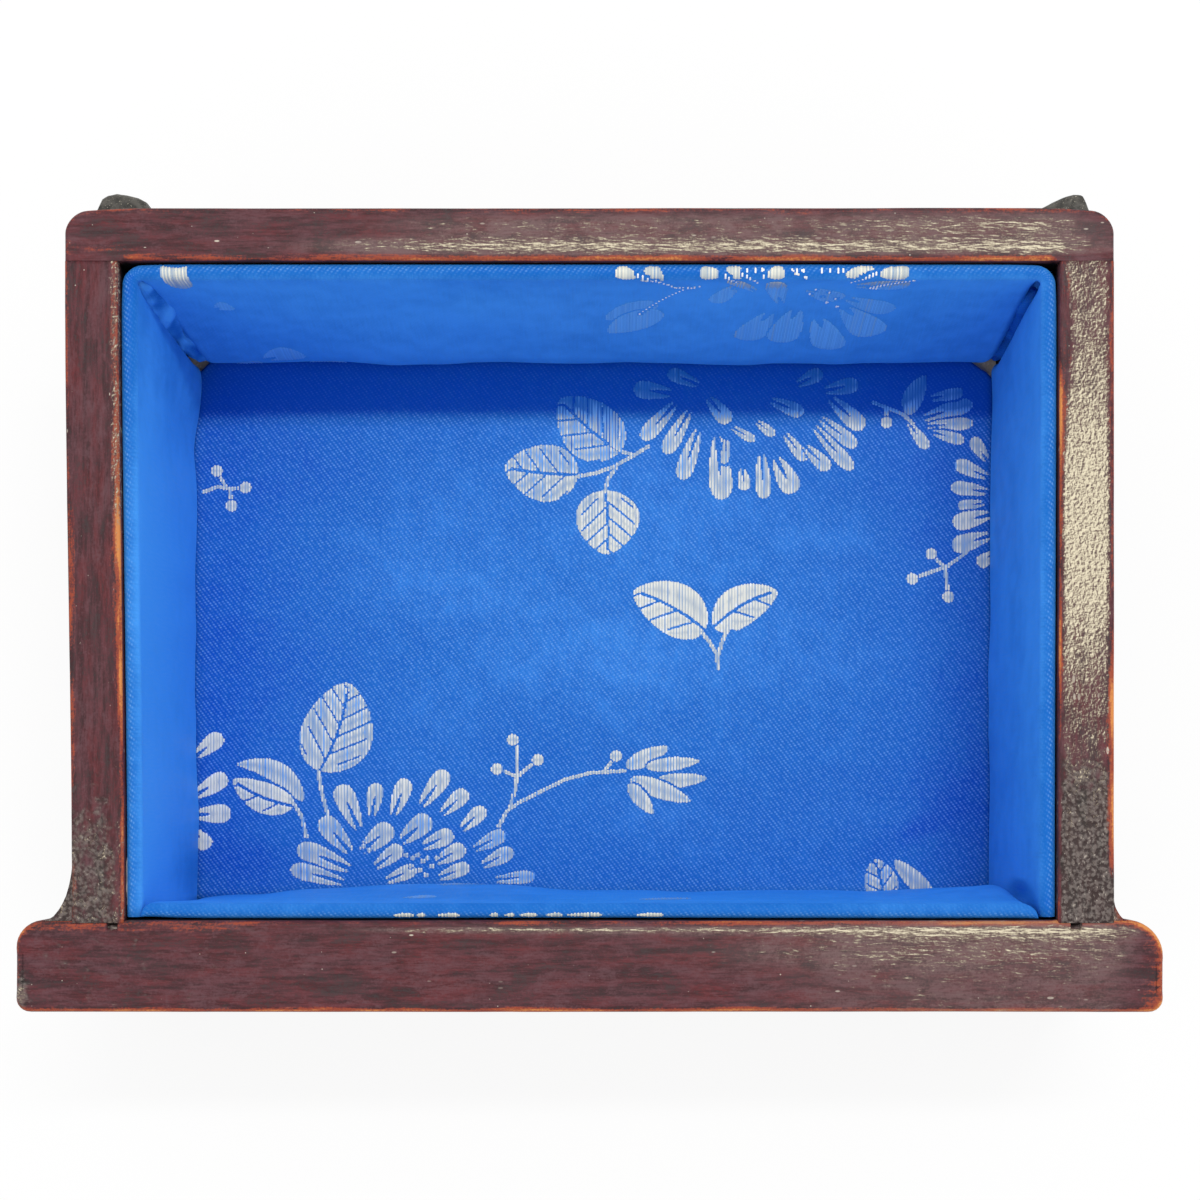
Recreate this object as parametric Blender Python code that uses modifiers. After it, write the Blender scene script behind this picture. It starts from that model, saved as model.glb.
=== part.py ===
"""Lined drawer of a jewellery chest.

An open hardwood tray with a front board that stands past both sides, two stop blocks behind its back
board, and a padded silk lining on its four walls and its floor.
Metres, +Z up. The front board is at -Y, and the origin is under the middle of the drawer.
"""

import math

import bmesh
import bpy

# Tray
BODY_WIDTH = 0.1825
BODY_DEPTH = 0.1405
HEIGHT = 0.0580
SIDE_THICKNESS = 0.0096
BACK_THICKNESS = 0.0092
BACK_CORNER_ROUND = 0.0040
RIM_ROUND = 0.0014
UNDERSIDE_EASE = 0.0005

# Front board
FRONT_THICKNESS = 0.0163
FRONT_OVERHANG = 0.0092
FRONT_REAR_ROUND = 0.0048
FRONT_FACE_ROUND = 0.0026

# Joinery: FIT is the clearance between any two pieces that meet
FIT = 0.0003
TONGUE_THICKNESS = 0.0016
TONGUE_LENGTH = 0.0025
TONGUE_INSET = 0.0017
TONGUE_DROP = 0.0020
GROOVE_DEPTH = 0.0035
GROOVE_LIFT = 0.0040
BOTTOM_THICKNESS = 0.0040
PIN_RADIUS = 0.0012
PIN_BITE = 0.0140
PIN_SINK = 0.0003
PIN_MARGIN = 0.0110

# Stop blocks behind the back board
STOP_WIDTH = 0.0095
STOP_PROUD = 0.0065
STOP_HEIGHT = 0.0160
STOP_DROP = 0.0100
STOP_INSET = 0.0070
STOP_OUTER_ROUND = 0.0018
STOP_INNER_ROUND = 0.0045

# Coved fillets behind the ends of the front board, each with its own reach
FILLET_LEFT_WIDTH = 0.0042
FILLET_LEFT_DEPTH = 0.0066
FILLET_RIGHT_WIDTH = 0.0028
FILLET_RIGHT_DEPTH = 0.0048
FILLET_EDGE = 0.0005
FILLET_MARGIN = 0.0015

# Lining
CARD_THICKNESS = 0.0012
WADDING_EDGE = 0.0004
SILK_THICKNESS = 0.0003
LINING_DROP = 0.0018
CARD_SETBACK = 0.0070
BELLY_SIDES = 0.0017
BELLY_FRONT = 0.0010
BELLY_BACK = 0.0054
FLOOR_CROWN = 0.0005
CORNER_BLEND = 0.0140
LOWER_EDGE_TUCK = 0.25
TUCK_SHARE = 0.20

# Facets
ROUND_SEGMENTS = 5
RIM_SEGMENTS = 3
PIN_SIDES = 16
PANEL_SPANS_LONG = 16
PANEL_SPANS_HIGH = 7
CUT_PAST = 0.0020

# Worked out from the sizes above
FRONT_WIDTH = BODY_WIDTH + 2 * FRONT_OVERHANG
INNER_WIDTH = BODY_WIDTH - 2 * SIDE_THICKNESS
Y_FRONT = -(BODY_DEPTH + FIT + STOP_PROUD) / 2
Y_BACK = Y_FRONT + BODY_DEPTH
Y_INNER_FRONT = Y_FRONT + FRONT_THICKNESS
Y_INNER_BACK = Y_BACK - BACK_THICKNESS
INNER_DEPTH = Y_INNER_BACK - Y_INNER_FRONT
Y_INNER_MIDDLE = (Y_INNER_FRONT + Y_INNER_BACK) / 2
GROOVE_HEIGHT = BOTTOM_THICKNESS + 2 * FIT
GROOVE_REACH = GROOVE_DEPTH + FIT
BOTTOM_TOP = GROOVE_LIFT + FIT + BOTTOM_THICKNESS
SILK_ROLL = SILK_THICKNESS + 2 * FIT
PANEL_EDGE = FIT + CARD_THICKNESS + FIT + WADDING_EDGE + FIT + SILK_THICKNESS
COVER_INSET = SILK_THICKNESS + FIT
LINING_FOOT = BOTTOM_TOP + PANEL_EDGE + FIT
LINING_HEIGHT = HEIGHT - LINING_DROP - LINING_FOOT

STAINED_WOOD = ((0.075, 0.018, 0.016, 1.0), 0.45)
PLAIN_WOOD = ((0.180, 0.090, 0.045, 1.0), 0.70)
BAMBOO = ((0.330, 0.200, 0.090, 1.0), 0.60)
DARK_LUMP = ((0.030, 0.028, 0.022, 1.0), 0.60)
GREYBOARD = ((0.420, 0.400, 0.360, 1.0), 0.90)
COTTON = ((0.750, 0.730, 0.690, 1.0), 0.95)
BLUE_SILK = ((0.012, 0.110, 0.700, 1.0), 0.42)

for old_object in list(bpy.data.objects):
    bpy.data.objects.remove(old_object, do_unlink=True)

parts = bpy.data.collections.new("jewellery_drawer")
cutters = bpy.data.collections.new("jewellery_drawer_cutters")
bpy.context.scene.collection.children.link(parts)
bpy.context.scene.collection.children.link(cutters)


def add_empty(name, location, rotation=(0.0, 0.0, 0.0), parent=None):
    """An unseen point that carries other pieces."""
    empty = bpy.data.objects.new(name, None)
    empty.location = location
    empty.rotation_euler = rotation
    empty.parent = parent
    parts.objects.link(empty)
    return empty


drawer = add_empty("drawer", (0.0, 0.0, 0.0))


def give_finish(piece, finish):
    """The piece's own Principled material, from a colour and a roughness."""
    colour, roughness = finish
    material = bpy.data.materials.new(piece.name + "_finish")
    material.use_nodes = True
    shader = material.node_tree.nodes["Principled BSDF"]
    shader.inputs["Base Color"].default_value = colour
    shader.inputs["Roughness"].default_value = roughness
    shader.inputs["Metallic"].default_value = 0.0
    piece.data.materials.append(material)


def add_part(name, bm, location, finish, parent=drawer):
    """Turns a bmesh into a named, smooth-shaded piece of the drawer."""
    mesh = bpy.data.meshes.new(name)
    bm.to_mesh(mesh)
    bm.free()
    mesh.shade_smooth()
    mesh.set_sharp_from_angle(angle=math.radians(40))
    piece = bpy.data.objects.new(name, mesh)
    piece.location = location
    piece.parent = parent
    parts.objects.link(piece)
    give_finish(piece, finish)
    return piece


def add_cutter(name, bm, location):
    """A hidden shape that is taken away from other pieces."""
    mesh = bpy.data.meshes.new(name)
    bm.to_mesh(mesh)
    bm.free()
    cutter = bpy.data.objects.new(name, mesh)
    cutter.location = location
    cutter.parent = drawer
    cutter.hide_render = True
    cutter.display_type = "WIRE"
    cutters.objects.link(cutter)
    return cutter


def cut(piece, cutter):
    """Takes the cutter's shape away from the piece."""
    modifier = piece.modifiers.new(cutter.name, "BOOLEAN")
    modifier.operation = "DIFFERENCE"
    modifier.object = cutter


def box(width, depth, height):
    """A box about its own centre."""
    bm = bmesh.new()
    bmesh.ops.create_cube(bm, size=1.0)
    bmesh.ops.scale(bm, vec=(width, depth, height), verts=bm.verts)
    return bm


def add_box_cutter(name, low, high):
    """A box cutter between two corners."""
    size = [b - a for a, b in zip(low, high)]
    centre = [(a + b) / 2 for a, b in zip(low, high)]
    return add_cutter(name, box(*size), centre)


def edges_along(bm, axis, wanted):
    """The edges that run along one axis and whose middle passes a test."""
    found = []
    for edge in bm.edges:
        first, second = (vert.co for vert in edge.verts)
        run = second - first
        if abs(run[axis]) > 0.999 * run.length and wanted((first + second) / 2):
            found.append(edge)
    return found


def round_edges(bm, edges, radius, segments):
    """Rounds the given edges."""
    bmesh.ops.bevel(
        bm, geom=edges, offset=radius, segments=segments, profile=0.5, affect="EDGES"
    )


def round_level(bm, level, radius, segments):
    """Rounds every edge that lies on one level of Z."""
    on_level = [e for e in bm.edges if all(abs(v.co.z - level) < 1e-7 for v in e.verts)]
    round_edges(bm, on_level, radius, segments)


# Boards of the tray

front_shape = box(FRONT_WIDTH, FRONT_THICKNESS, HEIGHT)
round_edges(front_shape, edges_along(front_shape, 2, lambda p: p.y > 0), FRONT_REAR_ROUND, ROUND_SEGMENTS)
round_edges(
    front_shape,
    edges_along(front_shape, 2, lambda p: p.y < -FRONT_THICKNESS / 2 + FIT and abs(p.x) > BODY_WIDTH / 2),
    FRONT_FACE_ROUND,
    ROUND_SEGMENTS,
)
round_level(front_shape, HEIGHT / 2, min(RIM_ROUND, 0.8 * FRONT_FACE_ROUND), RIM_SEGMENTS)
round_level(front_shape, -HEIGHT / 2, UNDERSIDE_EASE, 1)
front_board = add_part(
    "front_board", front_shape, (0.0, Y_FRONT + FRONT_THICKNESS / 2, HEIGHT / 2), STAINED_WOOD
)

back_shape = box(BODY_WIDTH, BACK_THICKNESS, HEIGHT)
round_edges(back_shape, edges_along(back_shape, 2, lambda p: p.y > 0), BACK_CORNER_ROUND, ROUND_SEGMENTS)
round_level(back_shape, HEIGHT / 2, min(RIM_ROUND, 0.8 * BACK_CORNER_ROUND), RIM_SEGMENTS)
round_level(back_shape, -HEIGHT / 2, UNDERSIDE_EASE, 1)
back_board = add_part(
    "back_board", back_shape, (0.0, Y_BACK - BACK_THICKNESS / 2, HEIGHT / 2), STAINED_WOOD
)


def add_side(name, hand):
    """A side board: long edges rounded, front end shouldered down to a tongue; hand is -1 or 1."""
    shoulder = Y_INNER_FRONT + FIT
    front_end = Y_INNER_FRONT - TONGUE_LENGTH
    back_end = Y_INNER_BACK - FIT
    length = back_end - front_end
    shape = box(SIDE_THICKNESS, length, HEIGHT)
    round_edges(shape, edges_along(shape, 1, lambda p: p.z > 0), RIM_ROUND, RIM_SEGMENTS)
    round_edges(
        shape, edges_along(shape, 1, lambda p: p.z < -HEIGHT / 2 + FIT), UNDERSIDE_EASE, 1
    )
    inner_face = hand * INNER_WIDTH / 2
    middle = inner_face + hand * SIDE_THICKNESS / 2
    side = add_part(name, shape, (middle, (front_end + back_end) / 2, HEIGHT / 2), STAINED_WOOD)

    tongue_inner = inner_face + hand * TONGUE_INSET
    tongue_outer = tongue_inner + hand * TONGUE_THICKNESS
    outer_face = inner_face + hand * SIDE_THICKNESS
    shoulder_spans = {
        "inner_shoulder": sorted((inner_face - hand * CUT_PAST, tongue_inner)),
        "outer_shoulder": sorted((tongue_outer, outer_face + hand * CUT_PAST)),
    }
    for label, (low_x, high_x) in shoulder_spans.items():
        cut(side, add_box_cutter(
            name + "_" + label,
            (low_x, front_end - CUT_PAST, -CUT_PAST),
            (high_x, shoulder, HEIGHT + CUT_PAST),
        ))
    tongue_span = sorted((tongue_inner - hand * FIT, tongue_outer + hand * FIT))
    cut(side, add_box_cutter(
        name + "_tongue_top",
        (tongue_span[0], front_end - CUT_PAST, HEIGHT - TONGUE_DROP),
        (tongue_span[1], shoulder, HEIGHT + CUT_PAST),
    ))
    groove_span = sorted((inner_face - hand * CUT_PAST, inner_face + hand * GROOVE_REACH))
    cut(side, add_box_cutter(
        name + "_groove",
        (groove_span[0], front_end - CUT_PAST, GROOVE_LIFT),
        (groove_span[1], back_end + CUT_PAST, GROOVE_LIFT + GROOVE_HEIGHT),
    ))
    cut(front_board, add_box_cutter(
        name + "_dado",
        (tongue_span[0], front_end - FIT, -CUT_PAST),
        (tongue_span[1], Y_INNER_FRONT + CUT_PAST, HEIGHT + CUT_PAST),
    ))
    return side


side_left = add_side("side_left", -1)
side_right = add_side("side_right", 1)

half_groove = INNER_WIDTH / 2 + GROOVE_REACH
cut(front_board, add_box_cutter(
    "front_groove",
    (-half_groove, Y_INNER_FRONT - GROOVE_REACH, GROOVE_LIFT),
    (half_groove, Y_INNER_FRONT + CUT_PAST, GROOVE_LIFT + GROOVE_HEIGHT),
))
cut(back_board, add_box_cutter(
    "back_groove",
    (-half_groove, Y_INNER_BACK - CUT_PAST, GROOVE_LIFT),
    (half_groove, Y_INNER_BACK + GROOVE_REACH, GROOVE_LIFT + GROOVE_HEIGHT),
))

bottom_board = add_part(
    "bottom_board",
    box(INNER_WIDTH + 2 * GROOVE_DEPTH, INNER_DEPTH + 2 * GROOVE_DEPTH, BOTTOM_THICKNESS),
    (0.0, Y_INNER_MIDDLE, GROOVE_LIFT + FIT + BOTTOM_THICKNESS / 2),
    PLAIN_WOOD,
)


# Pins through the back board into the ends of the sides

def rod(radius, length):
    """A round rod along Y about its own centre."""
    bm = bmesh.new()
    bmesh.ops.create_cone(
        bm, cap_ends=True, segments=PIN_SIDES, radius1=radius, radius2=radius, depth=length
    )
    for vert in bm.verts:
        x, y, z = vert.co
        vert.co = (x, z, -y)
    return bm


PIN_LEVELS = {
    "lower": GROOVE_LIFT + GROOVE_HEIGHT + PIN_MARGIN,
    "upper": HEIGHT - PIN_MARGIN,
}
pin_front = Y_INNER_BACK - FIT - PIN_BITE
pin_back = Y_BACK - PIN_SINK
for hand, side in ((-1, side_left), (1, side_right)):
    pin_x = hand * (BODY_WIDTH - SIDE_THICKNESS) / 2
    side_word = side.name.replace("side_", "")
    for level_word, level in PIN_LEVELS.items():
        pin_name = "back_pin_" + side_word + "_" + level_word
        bore_front = pin_front - FIT
        bore_back = Y_BACK + CUT_PAST
        bore = add_cutter(
            pin_name + "_bore",
            rod(PIN_RADIUS + FIT, bore_back - bore_front),
            (pin_x, (bore_front + bore_back) / 2, level),
        )
        cut(back_board, bore)
        cut(side, bore)
        add_part(
            pin_name,
            rod(PIN_RADIUS, pin_back - pin_front),
            (pin_x, (pin_front + pin_back) / 2, level),
            BAMBOO,
        )


# Stop blocks glued behind the back board

for hand, side_word in ((-1, "left"), (1, "right")):
    stop_shape = box(STOP_WIDTH, STOP_PROUD, STOP_HEIGHT)
    round_edges(
        stop_shape,
        edges_along(stop_shape, 2, lambda p: p.y > 0 and p.x * hand < 0),
        min(STOP_INNER_ROUND, 0.9 * STOP_PROUD),
        ROUND_SEGMENTS,
    )
    round_edges(
        stop_shape,
        edges_along(stop_shape, 2, lambda p: p.y > 0 and p.x * hand > STOP_WIDTH / 2 - FIT),
        STOP_OUTER_ROUND,
        ROUND_SEGMENTS,
    )
    add_part(
        "stop_" + side_word,
        stop_shape,
        (
            hand * (BODY_WIDTH / 2 - STOP_INSET),
            Y_BACK + FIT + STOP_PROUD / 2,
            HEIGHT - STOP_DROP - STOP_HEIGHT / 2,
        ),
        DARK_LUMP,
    )


# Coved fillets in the corners between the sides and the front board

def add_fillet(name, hand, width, depth):
    """A stick with a hollow quarter-ellipse face, drawn as a flat outline and extruded upwards."""
    outline = [
        (0.0, 0.0),
        (width, 0.0),
        (width, FILLET_EDGE),
        (FILLET_EDGE, depth),
        (0.0, depth),
    ]
    hollow = {
        2: (width - 0.55 * (width - FILLET_EDGE), FILLET_EDGE),
        3: (FILLET_EDGE, depth - 0.55 * (depth - FILLET_EDGE)),
    }
    curve = bpy.data.curves.new(name, "CURVE")
    curve.dimensions = "2D"
    curve.fill_mode = "BOTH"
    curve.extrude = (HEIGHT - 2 * FILLET_MARGIN) / 2
    curve.resolution_u = 8
    spline = curve.splines.new("BEZIER")
    spline.bezier_points.add(len(outline) - 1)
    spline.use_cyclic_u = True
    for point, (x, y) in zip(spline.bezier_points, outline):
        point.co = (hand * x, y, 0.0)
        point.handle_left_type = "VECTOR"
        point.handle_right_type = "VECTOR"
    start, end = spline.bezier_points[2], spline.bezier_points[3]
    start.handle_right_type = "FREE"
    start.handle_right = (hand * hollow[2][0], hollow[2][1], 0.0)
    end.handle_left_type = "FREE"
    end.handle_left = (hand * hollow[3][0], hollow[3][1], 0.0)
    fillet = bpy.data.objects.new(name, curve)
    fillet.location = (hand * (BODY_WIDTH / 2 + FIT), Y_INNER_FRONT + FIT, HEIGHT / 2)
    fillet.parent = drawer
    parts.objects.link(fillet)
    give_finish(fillet, STAINED_WOOD)


add_fillet("fillet_left", -1, FILLET_LEFT_WIDTH, FILLET_LEFT_DEPTH)
add_fillet("fillet_right", 1, FILLET_RIGHT_WIDTH, FILLET_RIGHT_DEPTH)


# Padded lining: each panel is drawn flat, long side on X, with its padded face up

def smooth_step(value):
    """0 below 0, 1 above 1, and a smooth rise between."""
    value = min(max(value, 0.0), 1.0)
    return value * value * (3 - 2 * value)


def form_lines(length, height):
    """The lines across and along a panel that its form is shaped on.

    Those across crowd towards the ends, where the form turns: x = half length * sin(90 deg * share).
    """
    shares = [2 * k / PANEL_SPANS_LONG - 1 for k in range(1, PANEL_SPANS_LONG)]
    across = [length / 2 * math.sin(math.pi / 2 * share) for share in shares]
    along = [height * (k / PANEL_SPANS_HIGH - 0.5) for k in range(1, PANEL_SPANS_HIGH)]
    return across, along


def crowned_block(length, height, base, top, rise, lines):
    """A closed block, cut on the lines inside it, whose upper face swells by rise(x, y)."""
    bm = box(length, height, top - base)
    bmesh.ops.translate(bm, vec=(0.0, 0.0, (base + top) / 2), verts=bm.verts)
    across, along = lines
    planes = [((x, 0.0, 0.0), (1.0, 0.0, 0.0)) for x in across if abs(x) < length / 2 - FIT]
    planes += [((0.0, y, 0.0), (0.0, 1.0, 0.0)) for y in along if abs(y) < height / 2 - FIT]
    for point, normal in planes:
        everything = list(bm.verts) + list(bm.edges) + list(bm.faces)
        bmesh.ops.bisect_plane(bm, geom=everything, plane_co=point, plane_no=normal)
    for vert in bm.verts:
        if vert.co.z > (base + top) / 2:
            vert.co.z += rise(vert.co.x, vert.co.y)
    return bm


def add_panel(place, length, height, seat, rise, setback=0.0):
    """Card, wadding and silk of one panel; seat is the empty on the face that carries it.

    The card and the wadding stop short of the silk's ends by the setback.
    """
    card_base = FIT
    card_top = card_base + CARD_THICKNESS
    wadding_base = card_top + FIT
    wadding_top = wadding_base + WADDING_EDGE
    silk_top = wadding_top + FIT + SILK_THICKNESS
    inner_length = length - 2 * (COVER_INSET + setback)
    inner_height = height - 2 * COVER_INSET
    lines = form_lines(length, height)

    add_part(
        "card_" + place,
        box(inner_length, inner_height, CARD_THICKNESS),
        (0.0, 0.0, (card_base + card_top) / 2),
        GREYBOARD,
        seat,
    )
    add_part(
        "wadding_" + place,
        crowned_block(inner_length, inner_height, wadding_base, wadding_top, rise, lines),
        (0.0, 0.0, 0.0),
        COTTON,
        seat,
    )
    cover_shape = crowned_block(length, height, card_base, silk_top, rise, lines)
    open_side = [face for face in cover_shape.faces if face.normal.z < -0.9]
    bmesh.ops.delete(cover_shape, geom=open_side, context="FACES")
    cover = add_part("silk_" + place, cover_shape, (0.0, 0.0, 0.0), BLUE_SILK, seat)
    roll = cover.modifiers.new("rolled_edge", "BEVEL")
    roll.limit_method = "ANGLE"
    roll.angle_limit = math.radians(50)
    roll.width = SILK_ROLL
    roll.segments = 2
    cloth = cover.modifiers.new("cloth", "SOLIDIFY")
    cloth.thickness = SILK_THICKNESS
    cloth.offset = -1.0
    cloth.use_even_offset = True


def wall_rise(length, height, belly, corner):
    """Swelling of a wall panel: nothing at the top and the ends, most towards the lower edge."""
    def rise(x, y):
        from_end = length / 2 - abs(x) - corner
        up = y / height + 0.5
        tuck = 1.0 - TUCK_SHARE * max(0.0, 1.0 - up / LOWER_EDGE_TUCK) ** 2
        return belly * smooth_step(from_end / CORNER_BLEND) * (1.0 - smooth_step(up)) * tuck
    return rise


def floor_rise(length, height, border):
    """Swelling of the floor panel: nothing under the wall panels that stand on its border."""
    def rise(x, y):
        from_end = length / 2 - abs(x) - border
        from_side = height / 2 - abs(y) - border
        return FLOOR_CROWN * smooth_step(from_end / CORNER_BLEND) * smooth_step(from_side / CORNER_BLEND)
    return rise


floor_length = INNER_WIDTH - 2 * FIT
floor_height = INNER_DEPTH - 2 * FIT
floor_border = PANEL_EDGE + max(BELLY_SIDES, BELLY_FRONT, BELLY_BACK) + FIT
floor_seat = add_empty("floor_seat", (0.0, Y_INNER_MIDDLE, BOTTOM_TOP), parent=drawer)
floor_swell = floor_rise(floor_length, floor_height, floor_border)
add_panel("floor", floor_length, floor_height, floor_seat, floor_swell)

corner = PANEL_EDGE + FIT
back_length = INNER_WIDTH - 2 * FIT
side_length = INNER_DEPTH - corner - FIT
front_length = INNER_WIDTH - 2 * corner
y_side_middle = Y_INNER_FRONT + FIT + side_length / 2
wall_middle = LINING_FOOT + LINING_HEIGHT / 2
upright = math.pi / 2
WALLS = {
    "back": (back_length, BELLY_BACK, corner, (0.0, Y_INNER_BACK), 0.0),
    "front": (front_length, BELLY_FRONT, 0.0, (0.0, Y_INNER_FRONT), math.pi),
    "left": (side_length, BELLY_SIDES, corner, (-INNER_WIDTH / 2, y_side_middle), math.pi / 2),
    "right": (side_length, BELLY_SIDES, corner, (INNER_WIDTH / 2, y_side_middle), -math.pi / 2),
}
for place, (length, belly, corner_width, (x, y), turn) in WALLS.items():
    wall_seat = add_empty(place + "_seat", (x, y, wall_middle), (upright, 0.0, turn), drawer)
    rise = wall_rise(length, LINING_HEIGHT, belly, corner_width)
    add_panel(place, length, LINING_HEIGHT, wall_seat, rise, CARD_SETBACK)
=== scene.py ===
"""Looks of a lined jewellery drawer: worn varnished boards around a padded blue brocade lining."""

import itertools

import bpy
import numpy as np
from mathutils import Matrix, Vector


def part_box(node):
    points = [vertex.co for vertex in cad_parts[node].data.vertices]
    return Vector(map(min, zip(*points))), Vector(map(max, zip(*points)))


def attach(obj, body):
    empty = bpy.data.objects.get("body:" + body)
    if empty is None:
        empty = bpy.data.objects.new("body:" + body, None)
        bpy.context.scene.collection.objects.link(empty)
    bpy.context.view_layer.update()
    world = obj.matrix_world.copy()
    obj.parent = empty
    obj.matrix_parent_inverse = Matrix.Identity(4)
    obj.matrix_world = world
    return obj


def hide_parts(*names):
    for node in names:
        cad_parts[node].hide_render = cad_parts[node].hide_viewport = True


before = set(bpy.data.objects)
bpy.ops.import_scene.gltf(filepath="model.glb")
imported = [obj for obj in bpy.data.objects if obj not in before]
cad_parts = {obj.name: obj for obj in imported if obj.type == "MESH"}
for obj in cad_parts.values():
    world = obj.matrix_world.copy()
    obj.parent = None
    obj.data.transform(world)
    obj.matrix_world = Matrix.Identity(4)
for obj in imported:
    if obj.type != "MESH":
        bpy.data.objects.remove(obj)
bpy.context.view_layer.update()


# Viewpoint. The drawer is seen from straight above, with the eye over its front half.
# A place that is read off the picture is named by its pixel and carried to the level that it lies on.

PICTURE_SIDE = 1200
RIM_PIXEL = 0.0001745
RIM_MIDDLE = 589.5
FRONT_LINE = 1013.0
EYE_PIXEL = np.array([610.0, 815.0])
EYE_ABOVE_RIM = 0.330
SENSOR_WIDTH = 36.0

front_low, front_high = map(np.array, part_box("front_board"))
rim_level = front_high[2]
eye = np.array([
    (EYE_PIXEL[0] - RIM_MIDDLE) * RIM_PIXEL,
    front_low[1] + (FRONT_LINE - EYE_PIXEL[1]) * RIM_PIXEL,
    rim_level + EYE_ABOVE_RIM,
])


def photo_point(pixel, level):
    """Where on a level a pixel looks: its offset from the eye's pixel, times the depth over the rim's."""
    reach = RIM_PIXEL * (eye[2] - level) / EYE_ABOVE_RIM
    return eye[:2] + (np.asarray(pixel, float) - EYE_PIXEL) * (reach, -reach)


lens = bpy.data.cameras.new("viewpoint")
lens.sensor_width = SENSOR_WIDTH
lens.lens = SENSOR_WIDTH * EYE_ABOVE_RIM / (RIM_PIXEL * PICTURE_SIDE)
lens.shift_x = (PICTURE_SIDE / 2 - EYE_PIXEL[0]) / PICTURE_SIDE
lens.shift_y = (EYE_PIXEL[1] - PICTURE_SIDE / 2) / PICTURE_SIDE
lens.clip_start = 0.01
camera = bpy.data.objects.new("viewpoint", lens)
camera.location = eye
bpy.context.scene.collection.objects.link(camera)
bpy.context.scene.camera = camera


# Back board. A full-width board of stained hardwood, its two outer corners rounded by wear.
# The sides butt against its inner face; its varnish is rubbed red along the inner edge and crackled on top,
# where a painted glare of the lamp is broken up by the crackle.

BACK_CORNER = 0.0040
BACK_OUTER_RIM = 0.0008
BOARD_PROUD = 0.0005
BACK_DROOP, BACK_DROOP_FROM = 0.0008, 0.076
BACK_INNER_RIM = 0.0007
BUTT_EDGE = 0.00005
UNDER_EASE = 0.0005
BOARD_PITCH = 0.0008
CORNER_STEPS, LEAST_STEPS, RIM_STEPS, FALL_STEPS = 11, 8, 8, 14
NOISE_CELLS = 32


def ramp(value, low, high):
    """0 up to low, 1 from high on, and the smooth step 3t^2 - 2t^3 between."""
    share = np.clip((value - low) / (high - low), 0.0, 1.0)
    return share * share * (3 - 2 * share)


def hill(value, middle, width):
    """A bell of height 1: exp(-((value - middle) / width)^2)."""
    return np.exp(-((value - middle) / width) ** 2)


def soft_noise(place, size, seed):
    """Smooth random values, -1 to 1: a lattice of seeded numbers, blended by smooth steps in each axis."""
    lattice = np.random.default_rng(seed).uniform(-1.0, 1.0, (NOISE_CELLS,) * 3)
    cell = np.asarray(place, float) / size
    corner = np.floor(cell).astype(int)
    part = ramp(cell - corner, 0.0, 1.0)
    total = np.zeros(cell.shape[:-1])
    for step in itertools.product((0, 1), repeat=3):
        weight = np.where(np.array(step) == 1, part, 1.0 - part).prod(-1)
        total += weight * lattice[tuple(np.moveaxis((corner + step) % NOISE_CELLS, -1, 0))]
    return total


def wandering(points, size, seed, amount=0.5, most=1.5):
    """A share about 1 that wanders along a board: 1 + amount times soft noise, kept from 0.2 to most."""
    return np.clip(1 + amount * soft_noise(points, size, seed), 0.2, most)


def on_top(drop):
    """1 on a board's top and its rim, and 0 from 2.5 mm below."""
    return 1 - ramp(drop, 0.0005, 0.0025)


def grid_faces(rows, columns, loop_rows=False, loop_columns=False):
    """Quads of points numbered row by row; a looped direction closes on itself."""
    row, column = np.meshgrid(
        np.arange(rows - (not loop_rows)), np.arange(columns - (not loop_columns)), indexing="ij")
    below, beside = (row + 1) % rows, (column + 1) % columns
    here, under = row * columns, below * columns
    return np.stack([here + column, here + beside, under + beside, under + column], -1).reshape(-1, 4)


def point_normals(points, quads):
    """Unit normals at the points: the crossed diagonals of the quads that meet there, summed."""
    across = np.cross(points[quads[:, 2]] - points[quads[:, 0]], points[quads[:, 3]] - points[quads[:, 1]])
    total = np.zeros_like(points)
    for corner in range(4):
        np.add.at(total, quads[:, corner], across)
    return total / np.maximum(np.linalg.norm(total, axis=1, keepdims=True), 1e-12)


def spread(*axes):
    """Places from their coordinates, each of which is broadcast to the shape of all."""
    return np.stack(np.broadcast_arrays(*axes), -1)


def numbered(rows, columns):
    """The numbers of a grid's points, as a grid."""
    return np.arange(rows * columns).reshape(rows, columns)


def border_of(rows, columns):
    """The numbers of a grid's outermost points, once round."""
    number = numbered(rows, columns)
    return np.concatenate([number[0, :-1], number[:-1, -1], number[-1, :0:-1], number[:0:-1, 0]])


def tube_ends(rows, columns):
    """The two end faces of a grid whose rows are closed rings."""
    number = numbered(rows, columns)
    return [number[0, ::-1].tolist(), number[-1].tolist()]


def new_object(name, points, faces, material, fields):
    """A smooth-shaded mesh object at the origin; fields are stored as attributes of its points."""
    mesh = bpy.data.meshes.new(name)
    mesh.from_pydata(points.reshape(-1, 3).tolist(), [], faces if isinstance(faces, list) else faces.tolist())
    for field, values in fields.items():
        values = np.asarray(values, np.float32)
        flat = values.ndim == 1
        attribute = mesh.attributes.new(field, "FLOAT" if flat else "FLOAT_VECTOR", "POINT")
        attribute.data.foreach_set("value" if flat else "vector", values.ravel())
    mesh.shade_smooth()
    mesh.materials.append(material)
    made = bpy.data.objects.new(name, mesh)
    bpy.context.scene.collection.objects.link(made)
    return made


def put_piece(name, points, faces, material, slot, *nodes, **fields):
    """A piece that rides on the one body and stands for its CAD nodes, where it has any; slot is not used."""
    piece = new_object(name, points, faces, material, fields)
    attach(piece, "root")
    if nodes:
        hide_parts(*nodes)
    return piece


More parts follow.
